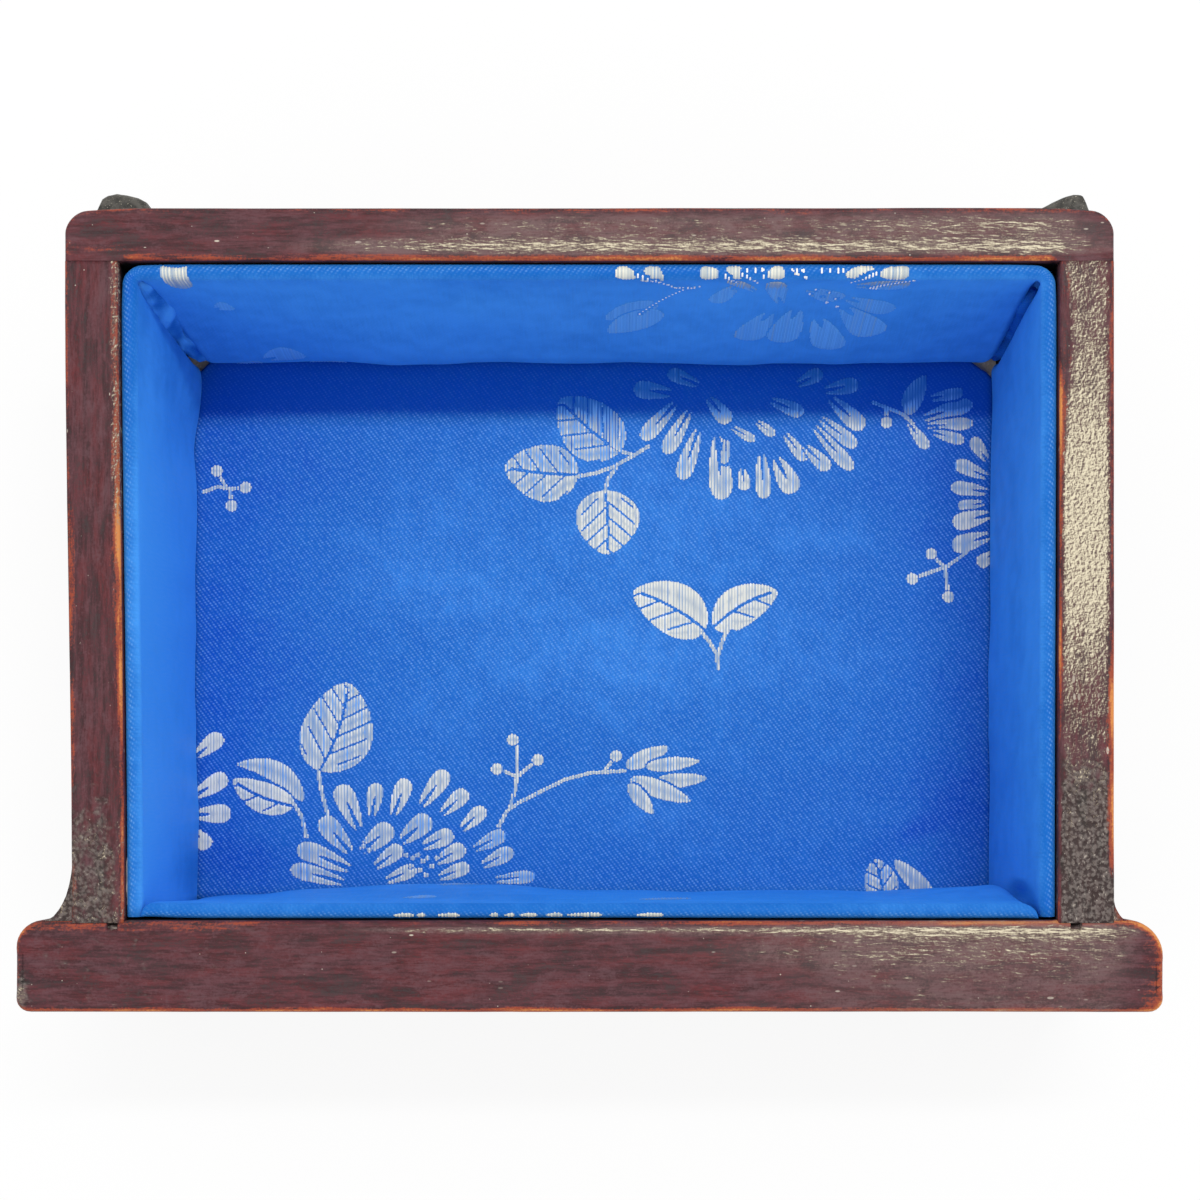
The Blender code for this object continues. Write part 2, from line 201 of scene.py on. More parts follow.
def board_surface(low, high, near_corner, far_corner, near_rim, far_rim, end_rim, extra=(), free=1.0):
    """A board on edge, its length on X: its points, quads, distances from its rims and drop from its top.

    The distances are those from its near, far and end rims.
    Its plan is a grid, its outline a rectangle with quarter circles at the near (-Y) and far (+Y) corners.
    From the outline's loop a rim runs up: inset r(1 - sin a), drop r(1 - cos a); r changes round the loop.
    r stays within a corner's radius, and is small where the near side is butted, beyond free from x = 0.
    Where near_corner is 0, an end's rim runs straight out to the near side, whose points keep clear of it.
    far_corner is one radius, or a pair of them for the left and the right end.
    """
    far_left, far_right = np.broadcast_to(far_corner, 2)
    length, depth, height = np.asarray(high) - low
    turn = max(near_corner, far_left, far_right)
    round_end = turn * (1 - np.cos(np.linspace(0, np.pi / 2, CORNER_STEPS)))
    even = np.linspace(turn, length - turn, int((length - 2 * turn) / BOARD_PITCH))
    stations = np.concatenate([round_end, even, length - round_end, np.asarray(extra) - low[0]])
    along = np.unique(stations.round(6))
    spans, steps = len(along) - 1, max(int(depth / BOARD_PITCH), LEAST_STEPS)

    def set_in(left, right):
        """How far the quarter-circle corners of the two ends set the outline in at each station."""
        radius = np.where(along < length / 2, left, right)
        inside = np.clip(radius - np.minimum(along, length - along), 0.0, radius)
        return radius - np.sqrt(radius ** 2 - inside ** 2)

    near, far = set_in(near_corner, near_corner), depth - set_in(far_left, far_right)
    share = np.linspace(0.0, 1.0, steps + 1)
    across = near[:, None] + (far - near)[:, None] * share
    plan = spread(along[:, None], across)

    ahead, sideways = np.arange(spans), np.arange(steps)
    station = np.concatenate([ahead, np.full(steps, spans), ahead[::-1] + 1, np.zeros(steps, int)])
    step = np.concatenate([np.zeros(spans, int), sideways, np.full(spans, steps), sideways[::-1] + 1])
    loop = plan[station, step]
    at_end = (station == 0) | (station == spans)
    square = (step == 0) & (near_corner == 0)
    to_end = np.minimum(loop[:, 0], length - loop[:, 0])
    clear = end_rim * np.clip(1 - to_end / turn, 0.0, 1.0) * (square & ~at_end)
    loop[:, 0] += clear * np.sign(length / 2 - loop[:, 0])
    heading = np.roll(loop, -1, 0) - np.roll(loop, 1, 0)
    heading[square & at_end, 0] = 0.0
    inward = np.stack([-heading[:, 1], heading[:, 0]], -1)
    inward /= np.linalg.norm(inward, axis=1, keepdims=True)
    rim = np.where(step == 0, near_rim, np.where(step == steps, far_rim, end_rim))
    rim = sum(np.roll(rim, k) for k in range(-2, 3)) / 5
    butted = (step == 0) * ramp(np.abs(loop[:, 0] + low[0]), free - 0.0008, free)
    rim = rim + (BUTT_EDGE - rim) * butted
    corner = np.where(loop[:, 0] < length / 2, far_left, far_right)
    corner = np.where(loop[:, 1] < depth / 2, near_corner, corner)
    from_end = np.minimum(loop[:, 0], length - loop[:, 0])
    from_side = np.minimum(loop[:, 1], depth - loop[:, 1])
    rim = np.minimum(rim, corner + 0.9 * np.clip(np.maximum(from_end, from_side) - corner, 0.0, None))
    rim[at_end & (corner == 0)] = end_rim

    angle = np.linspace(0.0, np.pi / 2, RIM_STEPS)[:, None]
    fall = np.linspace(0.0, 1.0, FALL_STEPS + 1)[1:, None]
    inset = np.concatenate([rim * (1 - np.sin(angle)), 0 * rim * fall, np.full((1, len(loop)), UNDER_EASE)])
    level = np.concatenate([
        height - rim * (1 - np.cos(angle)), (height - rim) + (UNDER_EASE - height + rim) * fall,
        np.zeros((1, len(loop)))])
    rings = np.concatenate([loop + inward * inset[..., None], level[..., None]], -1)

    def cover(ring):
        """A grid of points in a ring: both pairs of its sides blended across, less its corners blended."""
        closed = np.concatenate([ring, ring[:1]])
        first, last = closed[:spans + 1, None], closed[spans + steps:2 * spans + steps + 1][::-1, None]
        left, right = closed[2 * spans + steps:][::-1][None], closed[spans:spans + steps + 1][None]
        u, v = (along / length)[:, None, None], share[None, :, None]
        flat = (first[:1] * (1 - u) * (1 - v) + last[:1] * (1 - u) * v
                + first[-1:] * u * (1 - v) + last[-1:] * u * v)
        return (first * (1 - v) + last * v + left * (1 - u) + right * u - flat)[1:-1, 1:-1]

    count, size = len(rings), len(loop)
    points = np.concatenate([part.reshape(-1, 3) for part in (rings, cover(rings[0]), cover(rings[-1]))])
    quads = [grid_faces(count, size, loop_columns=True)[:, ::-1]]
    covered = count * size
    for ring, first, order in ((0, covered, 1), (count - 1, covered + (spans - 1) * (steps - 1), -1)):
        numbers = np.empty((spans + 1, steps + 1), int)
        numbers[1:-1, 1:-1] = first + numbered(spans - 1, steps - 1)
        numbers[station, step] = ring * size + np.arange(size)
        face = np.stack([numbers[:-1, :-1], numbers[1:, :-1], numbers[1:, 1:], numbers[:-1, 1:]], -1)
        quads.append(face.reshape(-1, 4)[:, ::order])
    drop = height - points[:, 2]
    near_at, far_at = np.interp(points[:, 0], along, near), np.interp(points[:, 0], along, far)
    from_end = np.minimum(points[:, 0], length - points[:, 0])
    distances = [np.hypot(away, drop) for away in (points[:, 1] - near_at, far_at - points[:, 1], from_end)]
    return points + low, np.concatenate(quads), distances, drop


WEAR_DEPTH = 0.00016
WEAR_LENGTH = 0.020


def wear_down(points, quads, held=0.0):
    """Moves the points inwards by up to the wear's depth, by a slow and a quick noise that all boards share.

    held, 0 to 1 for each point, stops it from moving along Y, where another board is butted.
    """
    wave = 0.7 * soft_noise(points, WEAR_LENGTH, 12) + 0.3 * soft_noise(points, WEAR_LENGTH / 4, 13)
    shift = point_normals(points, quads) * (WEAR_DEPTH * (0.5 + 0.5 * wave))[:, None]
    shift[:, 1] *= 1 - held
    return np.clip(points - shift, points.min(0), points.max(0))


def add_node(tree, kind, inputs=None, **settings):
    """A shader node; inputs maps a socket's name or number to a value or to another node's socket."""
    made = tree.nodes.new(kind)
    for setting, value in settings.items():
        setattr(made, setting, value)
    for socket, value in (inputs or {}).items():
        if isinstance(value, bpy.types.NodeSocket):
            tree.links.new(value, made.inputs[socket])
        else:
            made.inputs[socket].default_value = value
    return made


def work_out(operation, first, *others):
    """The result of one Math node, in the tree of its first value, which is a socket."""
    values = dict(enumerate((first, *others)))
    return add_node(first.id_data, "ShaderNodeMath", values, operation=operation).outputs[0]


def plus(first, second):
    """One value plus another."""
    return work_out("ADD", first, second)


def minus(first, second):
    """One value less another."""
    return work_out("SUBTRACT", first, second)


def both(first, second):
    """One value times another."""
    return work_out("MULTIPLY", first, second)


def vary(noise, amount):
    """A noise about its middle value, times an amount."""
    return both(minus(noise, 0.5), amount)


def stretch(vector, scale):
    """A vector times three numbers."""
    made = add_node(vector.id_data, "ShaderNodeVectorMath", {0: vector, 1: scale}, operation="MULTIPLY")
    return made.outputs[0]


def cloud(vector, scale, detail=3.0, roughness=0.55, distortion=0.0):
    """A noise texture's value."""
    return add_node(vector.id_data, "ShaderNodeTexNoise", {
        "Vector": vector, "Scale": scale, "Detail": detail, "Roughness": roughness, "Distortion": distortion,
    }).outputs[0]


def rise(value, low, high, to_low=0.0, to_high=1.0):
    """A smooth step between two values, from to_low to to_high."""
    return add_node(value.id_data, "ShaderNodeMapRange", {
        "Value": value, "From Min": low, "From Max": high, "To Min": to_low, "To Max": to_high,
    }, interpolation_type="SMOOTHSTEP").outputs[0]


def blend(share, first, second):
    """The first colour going over into the second."""
    made = add_node(share.id_data, "ShaderNodeMix", {0: share, 6: first, 7: second}, data_type="RGBA")
    return made.outputs[2]


def new_group(name, inputs, outputs):
    """An empty node group with its sockets; returns its tree, its inputs by name and its output node."""
    tree = bpy.data.node_groups.new(name, "ShaderNodeTree")
    for direction, sockets in (("INPUT", inputs), ("OUTPUT", outputs)):
        for socket, kind in sockets.items():
            tree.interface.new_socket(socket, in_out=direction, socket_type="NodeSocket" + kind)
    return tree, tree.nodes.new("NodeGroupInput").outputs, tree.nodes.new("NodeGroupOutput")


def join(node, **values):
    """Joins each value to the node's input of that name."""
    for socket, value in values.items():
        node.id_data.links.new(value, node.inputs[socket])


MAROON = (0.042, 0.010, 0.013, 1.0)
PLUM = (0.104, 0.027, 0.034, 1.0)
OXBLOOD = (0.150, 0.024, 0.027, 1.0)
MAUVE_HAZE = (0.130, 0.063, 0.073, 1.0)
# A pale haze of painted glare on the streaky boards.
GLARE_HAZE = (0.195, 0.125, 0.122, 1.0)
PATINA = (0.048, 0.042, 0.043, 1.0)
RUBBED_RED = (0.310, 0.060, 0.030, 1.0)
RUBBED_AMBER = (0.640, 0.240, 0.066, 1.0)
# The lamp's glare, painted: a darker brown for the shade between its glints, then tan and cream highlights.
GLARE_GAP_SHADE = (0.118, 0.084, 0.078, 1.0)
GLARE_TAN = (0.270, 0.215, 0.160, 1.0)
GLARE_CREAM = (0.740, 0.660, 0.480, 1.0)
# Soot pitch, near black in the pits of its pebbles, where painted shade falls.
PITCH_PIT_SHADE = (0.026, 0.023, 0.020, 1.0)
PITCH_GREY = (0.165, 0.145, 0.130, 1.0)
PALE_SPECK = (0.600, 0.530, 0.440, 1.0)
# Grime in the gap between wood and lining, with painted shade.
GAP_GRIME_AND_SHADE = (0.007, 0.006, 0.006, 1.0)

varnish, given, made = new_group(
    "worn_varnish",
    {"Place": "Vector", "Wear": "Float", "Gloss": "Float", "Soot": "Float", "Drawn": "Float"},
    {"Colour": "Color", "Roughness": "Float", "Height": "Float"},
)

streak = cloud(stretch(given["Place"], (0.10, 1.0, 1.0)), 1.3, 5.0, 0.62)
fibre = cloud(stretch(given["Place"], (0.18, 1.0, 1.0)), 3.2, 3.0, 0.6)
drift = cloud(stretch(given["Place"], (0.22, 1.0, 1.0)), 0.42, 4.0, 0.6)
patch = cloud(stretch(given["Place"], (0.50, 1.0, 1.0)), 0.30, 5.0, 0.65, 0.5)
grit = cloud(given["Place"], 2.6, 3.0, 0.6)
drawn = add_node(varnish, "ShaderNodeCombineXYZ", {
    0: rise(given["Drawn"], 0.0, 1.0, 0.85, 0.20), 1: 1.0, 2: 1.0}).outputs[0]
worm = cloud(stretch(given["Place"], drawn), 1.9, 3.0, 0.62, 0.5)
# The crinkle is the worm noise less a copy shifted toward the light: painted light and shade of the crinkled
# varnish.
lit_from = add_node(varnish, "ShaderNodeVectorMath", {
    0: given["Place"], 1: (0.16, 0.20, 0.0)}, operation="ADD").outputs[0]
crinkle_light = minus(cloud(stretch(lit_from, drawn), 1.9, 3.0, 0.62, 0.5), worm)
flake = cloud(given["Place"], 0.45, 3.0, 0.55, 0.5)

colour = blend(rise(streak, 0.36, 0.64), MAROON, PLUM)
reddened = both(rise(drift, 0.44, 0.70), rise(fibre, 0.34, 0.66, 0.30, 0.75))
colour = blend(reddened, colour, OXBLOOD)
dull = plus(plus(patch, vary(grit, 0.55)), vary(fibre, 0.50))
colour = blend(rise(dull, 0.38, 0.78, 0.0, 0.70), colour, MAUVE_HAZE)
colour = blend(rise(plus(dull, vary(drift, 0.5)), 0.54, 0.24, 0.0, 0.60), colour, PATINA)

# Pale pinprick specks in the wood; the glare adds more of them, and these are painted glints.
for place, size, rarity, reach in (
        (given["Place"], 0.75, 0.70, 0.15),
        (stretch(given["Place"], (0.38, 1.0, 1.0)), 0.85, 0.80, 0.26)):
    dots = add_node(varnish, "ShaderNodeTexVoronoi", {"Vector": place, "Scale": size, "Randomness": 1.0})
    pick = add_node(varnish, "ShaderNodeSeparateColor", {0: dots.outputs["Color"]}).outputs
    chance = plus(pick[0], both(given["Gloss"], 0.30))
    edge = minus(rise(chance, rarity, 1.10, 0.0, reach), dots.outputs["Distance"])
    speck = both(rise(edge, 0.0, 0.08), rise(pick[1], 0.0, 1.0, 0.15, 0.90))
    colour = blend(speck, colour, PALE_SPECK)

ragged = plus(plus(vary(streak, 1.1), vary(grit, 0.7)), vary(fibre, 0.5))
rubbed = plus(given["Wear"], both(ragged, rise(given["Wear"], 0.02, 0.25)))
colour = blend(rise(rubbed, 0.24, 0.56), colour, RUBBED_RED)
colour = blend(rise(rubbed, 0.56, 1.00), colour, RUBBED_AMBER)

# Soot: tarry pitch, painted near black in the pebbles' pits as shade, with pale painted glints.
tarry = plus(given["Soot"], vary(flake, 1.3))
tarry = both(rise(tarry, 0.25, 0.75), rise(given["Soot"], 0.02, 0.25))
pebble = add_node(varnish, "ShaderNodeTexVoronoi", {
    "Vector": given["Place"], "Scale": 1.5, "Smoothness": 0.6, "Randomness": 1.0,
}, feature="SMOOTH_F1").outputs["Distance"]
tar = blend(rise(plus(vary(pebble, -0.5), worm), 0.38, 0.66), PITCH_PIT_SHADE, PITCH_GREY)
colour = blend(both(tarry, 0.80), colour, tar)
glint = both(tarry, rise(worm, 0.61, 0.74, 0.0, 0.65))
colour = blend(glint, colour, PALE_SPECK)

# The glare field paints a broken highlight of the lamp on the crazed varnish: a pale haze, a darker brown
# between the glints, tan and cream where it catches the light.
hazed = both(both(rise(given["Gloss"], 0.02, 0.28), given["Drawn"]), rise(dull, 0.30, 0.66, 0.15, 0.62))
colour = blend(hazed, colour, GLARE_HAZE)
broken = plus(given["Gloss"], vary(flake, 0.8))
broken = both(rise(broken, 0.05, 1.05), rise(given["Gloss"], 0.02, 0.20))
colour = blend(both(broken, 0.75), colour, GLARE_GAP_SHADE)
shine = plus(plus(both(crinkle_light, 1.5), vary(worm, 0.5)), plus(vary(grit, 0.55), both(broken, 0.42)))
shine = plus(shine, rise(given["Drawn"], 0.0, 1.0, 0.46, 0.445))
shown = rise(broken, 0.01, 0.25)
colour = blend(both(rise(shine, 0.52, 0.84), shown), colour, GLARE_TAN)
colour = blend(both(rise(shine, 0.68, 1.06), shown), colour, GLARE_CREAM)

roughness = rise(grit, 0.3, 0.7, 0.42, 0.66)
height = plus(both(streak, 0.5), both(grit, 0.15))
height = plus(height, both(broken, worm))
height = minus(height, both(tarry, both(pebble, 1.1)))
# Wear below zero paints near black: grime, and painted shade in the gaps and the pit.
colour = blend(rise(given["Wear"], -0.05, -0.60), colour, GAP_GRIME_AND_SHADE)
join(made, Colour=colour, Roughness=roughness, Height=height)


def new_material(name):
    """A node material; returns it, its tree and its Principled shader."""
    material = bpy.data.materials.new(name)
    material.use_nodes = True
    return material, material.node_tree, material.node_tree.nodes["Principled BSDF"]


def field_value(tree, field):
    """The value of a piece's own attribute."""
    return add_node(tree, "ShaderNodeAttribute", attribute_name=field).outputs["Fac"]


def own_millimetres(tree, turn=0.0):
    """The piece's own coordinates in millimetres, turned about Z."""
    own = add_node(tree, "ShaderNodeTexCoord").outputs["Object"]
    return add_node(tree, "ShaderNodeMapping", {
        "Vector": own, "Rotation": (0.0, 0.0, turn), "Scale": (1000.0, 1000.0, 1000.0)}).outputs[0]


def finish_shader(shader, colour, roughness, height, strength, distance, fixed=()):
    """Joins a colour, a roughness and a bumped normal to a shader; fixed are its inputs with one value."""
    bump = add_node(shader.id_data, "ShaderNodeBump", {
        "Height": height, "Strength": strength, "Distance": distance})
    join(shader, **{"Base Color": colour, "Roughness": roughness, "Normal": bump.outputs[0]})
    for socket, value in dict(fixed).items():
        shader.inputs[socket].default_value = value


def varnished_wood(name, turn, drawn):
    """Worn varnish, its grain along X or turned about Z to run along Y; drawn is how streaky its painted
    glare is.
    """
    material, tree, shader = new_material(name)
    finish = add_node(tree, "ShaderNodeGroup", {"Drawn": drawn}, node_tree=varnish)
    join(finish, Place=own_millimetres(tree, turn), **{
        field: field_value(tree, field.lower()) for field in ("Wear", "Gloss", "Soot")})
    finish_shader(shader, *finish.outputs, 0.55, 0.0004, {"Specular IOR Level": 0.2})
    return material


WOOD_ACROSS = varnished_wood("varnished_wood_across", 0.0, 1.0)


def grimed_and_shaded(wear, from_inner, drop):
    """Wear turned to -1 on an inner face, from just under its rim down: dirt gone into the gap, and painted
    shade in it.
    """
    grime = (1 - ramp(from_inner, 0.0003, 0.0008)) * ramp(drop, 0.0004, 0.0011)
    return wear * (1 - grime) - grime


back_low, back_high = map(np.array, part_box("back_board"))
side_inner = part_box("side_right")[0].x
points, quads, (inner, outer, end), drop = board_surface(
    back_low, back_high, 0.0, BACK_CORNER, BACK_INNER_RIM, BACK_OUTER_RIM, BACK_OUTER_RIM, free=side_inner)
x, y = points[:, 0], points[:, 1]
top = on_top(drop)
from_inner = y - back_low[1]
open_side = 1 - ramp(np.abs(x), side_inner - 0.002, side_inner)
wear = wandering(points, 0.012, 11) * (
    (0.42 + 0.22 * ramp(x, -0.060, -0.020)) * hill(inner, 0.0003, 0.0007) * open_side
    + 0.27 * hill(outer, 0.0004, 0.0012) * (1 - 0.7 * ramp(np.abs(x), 0.084, 0.095))
    + 0.14 * hill(end, 0.0003, 0.0012)
    + 0.16 * top * hill(from_inner, 0.0022, 0.0016) * ramp(-x, 0.020, 0.050))
# Glare: painted lamp highlights in lines along the top, near the inner edge.
gloss = top * ramp(from_inner, 0.0008, 0.0016) * (
    0.76 * hill(from_inner, 0.0025, 0.0014) * ramp(x, -0.066, -0.010)
    + (0.30 + 0.20 * ramp(x, 0.035, 0.060)) * hill(from_inner, 0.0060, 0.0019) * ramp(x, -0.055, -0.010)
    + 0.20 * hill(from_inner, 0.0030, 0.0030) * hill(x, 0.083, 0.009)) * (1 - 0.75 * ramp(x, 0.076, 0.0900))
soot = 0.10 * top * hill(x, -0.030, 0.030)
butted = ramp(np.abs(x), side_inner - 0.001, side_inner) * (1 - ramp(from_inner, 0.0, 0.0012))
points = wear_down(points, quads, butted)
points[:, 0] *= 1 + BOARD_PROUD / back_high[0]
drooped = BACK_DROOP * np.clip((np.abs(x) - BACK_DROOP_FROM) / (back_high[0] - BACK_DROOP_FROM), 0, 1) ** 2
points[:, 1] += (0.5 * BOARD_PROUD - drooped) * ramp(from_inner, 0.002, 0.008)
put_piece("worn_back_board", points, quads, WOOD_ACROSS, "stained_wood", "back_board",
          wear=grimed_and_shaded(wear, from_inner, drop), gloss=gloss, soot=soot)


# Side boards. Two plain boards of the same wood, pinned through the back board and tongued into the front.
# The right one carries a pale broken glare of the lamp on its crazed varnish, a painted highlight; both are
# grey and pebbled at the front.

SIDE_OUTER_RIM = 0.0006
SIDE_INNER_RIM = 0.0006
SIDE_FRONT_LAP = 0.0006
LEFT_PLANED = 0.0012
LEFT_SKEW_BACK, LEFT_SKEW_FRONT = -0.0006, 0.0004
RIGHT_SKEW_BACK, RIGHT_SKEW_FRONT = 0.0004, 0.0001
# Painted glare on the right board's top, by row, from back to front.
RIGHT_GLARE_AT_ROW = {
    262: 0.46, 300: 0.50, 345: 0.56, 400: 0.72, 450: 0.92, 500: 1.08, 550: 1.04, 600: 0.90, 650: 0.66,
    700: 0.44, 760: 0.30, 820: 0.18, 915: 0.10,
}
RIGHT_BARE_ROW, RIGHT_BARE_ROWS = 345.0, 60.0
INNER_RED_ROWS, INNER_FADE_ROWS, FLUSH_FADE_ROWS = (335.0, 420.0), (640.0, 780.0), (430.0, 560.0)
OUTER_AMBER_ROWS, SOOT_ROWS, FRONT_END_ROWS = (620.0, 720.0), (690.0, 850.0), (862.0, 890.0)
SIDE_BEND_STEPS, SIDE_RISE_STEPS, SIDE_UNDER_STEPS = 9, 14, 8
BUTT_CLEAR = 0.00002

WOOD_ALONG = varnished_wood("varnished_wood_along", np.pi / 2, 0.0)


def row_at_rim(y):
    """The picture's row that shows a place on the rim."""
    return FRONT_LINE - (y - front_low[1]) / RIM_PIXEL


def side_surface(node, minus_rim, plus_rim):
    """A side board: its section, a box with its two upper edges rounded, carried along Y from front to back.

    Returns points, quads, the two end faces, distances from its -X and +X rims, and its drop from the top.
    """
    low, high = map(np.array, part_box(node))
    low[1], high[1] = front_high[1] - SIDE_FRONT_LAP, back_low[1] - BUTT_CLEAR
    width, height = high[0] - low[0], high[2] - low[2]
    bend = np.linspace(0.0, np.pi / 2, SIDE_BEND_STEPS)
    rise_up = np.linspace(0.0, 1.0, SIDE_RISE_STEPS, endpoint=False)
    flat = np.linspace(minus_rim, width - plus_rim, int(width / BOARD_PITCH) + 4)[1:-1]
    across = np.concatenate([
        0 * rise_up, minus_rim * (1 - np.cos(bend)), flat, width - plus_rim * (1 - np.sin(bend)),
        width + 0 * rise_up, np.linspace(width - UNDER_EASE, UNDER_EASE, SIDE_UNDER_STEPS)])
    level = np.concatenate([
        UNDER_EASE + (height - minus_rim - UNDER_EASE) * rise_up, height - minus_rim * (1 - np.sin(bend)),
        height + 0 * flat, height - plus_rim * (1 - np.cos(bend)),
        (UNDER_EASE + (height - plus_rim - UNDER_EASE) * rise_up)[::-1], np.zeros(SIDE_UNDER_STEPS)])
    along = np.linspace(low[1], high[1], int((high[1] - low[1]) / BOARD_PITCH))
    points = spread(low[0] + across, along[:, None], low[2] + level).reshape(-1, 3)
    quads = grid_faces(len(along), len(across), loop_columns=True)
    drop = high[2] - points[:, 2]
    ends = tube_ends(len(along), len(across))
    aside = points[:, 0] - low[0], high[0] - points[:, 0]
    return points, quads, ends, *(np.hypot(away, drop) for away in aside), drop


def inner_skew(y, at_back, at_front):
    """How far a side's inner face stands aside from true: a straight run from its back to its front."""
    return at_back + (at_front - at_back) * ramp(-y, -back_low[1], -front_high[1])


def butted_ends(points):
    """1 at the two ends of a side board and 0 from a millimetre inside them."""
    y = points[:, 1]
    return 1 - ramp(np.minimum(y - y.min(), y.max() - y), 0.0, 0.0010)


points, quads, ends, outer, inner, drop = side_surface("side_left", SIDE_OUTER_RIM, SIDE_INNER_RIM)
top, y = on_top(drop), points[:, 1]
wear = wandering(points, 0.010, 21) * (
    0.50 * hill(inner, 0.0002, 0.0006) * ramp(-y, -0.040, 0.010) + 0.32 * hill(outer, 0.0002, 0.0009)
    + 0.40 * hill(inner, 0.0004, 0.0010) * ramp(y, -0.030, 0.000) + 0.14 * hill(y, 0.000, 0.020) * top)
# Glare: a painted highlight along the inner edge and over the front.
gloss = top * (0.43 * hill(inner, 0.0007, 0.0008) * ramp(y, -0.012, 0.024)
               + 0.12 * hill(inner, 0.0024, 0.0014) * ramp(y, 0.030, 0.055) + 0.22 * ramp(-y, 0.030, 0.045))
soot = top * (0.50 * ramp(-y, 0.026, 0.050) * ramp(inner, 0.0004, 0.0025) + 0.10)
wear = grimed_and_shaded(wear, points[:, 0].max() - points[:, 0], drop)
points = wear_down(points, quads, butted_ends(points))
from_inner = (points[:, 0].max() - points[:, 0]) / np.ptp(points[:, 0])
points[:, 0] += (LEFT_PLANED * ramp(-y, -back_low[1], -front_high[1]) - BOARD_PROUD) * from_inner
points[:, 0] += (1 - from_inner) * inner_skew(y, LEFT_SKEW_BACK, LEFT_SKEW_FRONT)
put_piece("worn_side_left", points, quads.tolist() + ends, WOOD_ALONG, "stained_wood", "side_left",
          wear=wear, gloss=gloss, soot=soot)

points, quads, ends, inner, outer, drop = side_surface("side_right", SIDE_INNER_RIM, SIDE_OUTER_RIM)
top, y = on_top(drop), points[:, 1]
row = row_at_rim(y)
front_end = ramp(row, *FRONT_END_ROWS)
inner_red = (0.70 - 0.50 * ramp(row, *INNER_FADE_ROWS)) * hill(inner, 0.0001, 0.0006)
inner_red *= ramp(row, *INNER_RED_ROWS)
inner_flush = 0.22 * hill(inner, 0.0012, 0.0016) * (1 - 0.8 * ramp(row, *FLUSH_FADE_ROWS))
outer_amber = (0.34 + 0.52 * ramp(row, *OUTER_AMBER_ROWS)) * hill(outer, 0.0002, 0.0011)
outer_amber *= 1 - 0.8 * front_end
wear = wandering(points, 0.010, 31) * (inner_red + inner_flush + outer_amber)
bare = 0.0007 + 0.0016 * hill(row, RIGHT_BARE_ROW, RIGHT_BARE_ROWS)
# Glare: the lamp's broken highlight painted along the top, between the inner and outer rims.
gloss = top * ramp(inner, 0.4 * bare, bare + 0.0008) * ramp(outer, 0.0004, 0.0018)
gloss *= np.interp(row, list(RIGHT_GLARE_AT_ROW), list(RIGHT_GLARE_AT_ROW.values()))
soot = top * 1.10 * ramp(row, *SOOT_ROWS) * ramp(inner, 0.0001, 0.0011)
soot *= np.maximum(ramp(outer, 0.0005, 0.0018), front_end)
wear = grimed_and_shaded(wear, points[:, 0] - points[:, 0].min(), drop)
points = wear_down(points, quads, butted_ends(points))
from_outer = (points[:, 0].max() - points[:, 0]) / np.ptp(points[:, 0])
points[:, 0] += from_outer * inner_skew(y, RIGHT_SKEW_BACK, RIGHT_SKEW_FRONT) + BOARD_PROUD * (1 - from_outer)
put_piece("worn_side_right", points, quads.tolist() + ends, WOOD_ALONG, "stained_wood", "side_right",
          wear=wear, gloss=gloss, soot=soot)


# Pins. Four slim bamboo pins, driven through the back board into the ends of the sides and trimmed flush.
# Each shows as a round end with a slight dome.

PIN_DOME = 0.00012
PIN_ROUND = 28
BAMBOO_DARK = (0.150, 0.072, 0.030, 1.0)
BAMBOO_LIGHT = (0.360, 0.215, 0.095, 1.0)


def turned_rod(start, end, radius, dome):
    """A rod along Y, a profile turned round its axis: flat inner end, straight side, domed outer end."""
    share = np.linspace(0.0, 1.0, 5)
    profile_r = np.concatenate([[0.02, 0.9, 1.0], np.ones(4), np.cos(share * np.pi / 2 * 0.985)]) * radius
    profile_y = np.concatenate([
        [start[1], start[1], start[1] + 0.1 * radius],
        np.linspace(start[1] + 0.2 * radius, end[1] - dome * 1.5, 4),
        end[1] - dome + dome * np.sin(share * np.pi / 2),
    ])
    turn = np.linspace(0.0, 2 * np.pi, PIN_ROUND, endpoint=False)
    rod = spread(
        start[0] + profile_r[:, None] * np.cos(turn), profile_y[:, None],
        start[2] + profile_r[:, None] * np.sin(turn))
    faces = grid_faces(*rod.shape[:2], loop_columns=True)[:, ::-1].tolist()
    return rod, faces + tube_ends(*rod.shape[:2])


bamboo, tree, shader = new_material("bamboo_pin")
place = own_millimetres(tree)
fibre_dots = cloud(stretch(place, (1.0, 0.03, 1.0)), 6.0, 3.0)
colour = blend(rise(fibre_dots, 0.35, 0.65), BAMBOO_DARK, BAMBOO_LIGHT)
finish_shader(shader, colour, rise(fibre_dots, 0.3, 0.7, 0.5, 0.75), fibre_dots, 0.3, 0.0001)

for name in sorted(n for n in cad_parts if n.startswith("back_pin_")):
    low, high = map(np.array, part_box(name))
    middle = (low + high) / 2
    start, end = (middle[0], low[1], middle[2]), (middle[0], back_high[1] + PIN_DOME / 2, middle[2])
    rod, faces = turned_rod(start, end, (high[0] - low[0]) / 2, PIN_DOME)
    put_piece("trimmed_" + name, rod, faces, bamboo, "pin_wood", name)


# Bottom board. A thin board of plain, unvarnished wood, held in a groove on all four sides.
# It is seen only from below, dry and dusty, with its grain across the drawer.

DRY_WOOD_DARK = (0.115, 0.058, 0.030, 1.0)
DRY_WOOD_LIGHT = (0.270, 0.155, 0.085, 1.0)
DRY_WOOD_DUST = (0.300, 0.260, 0.210, 1.0)

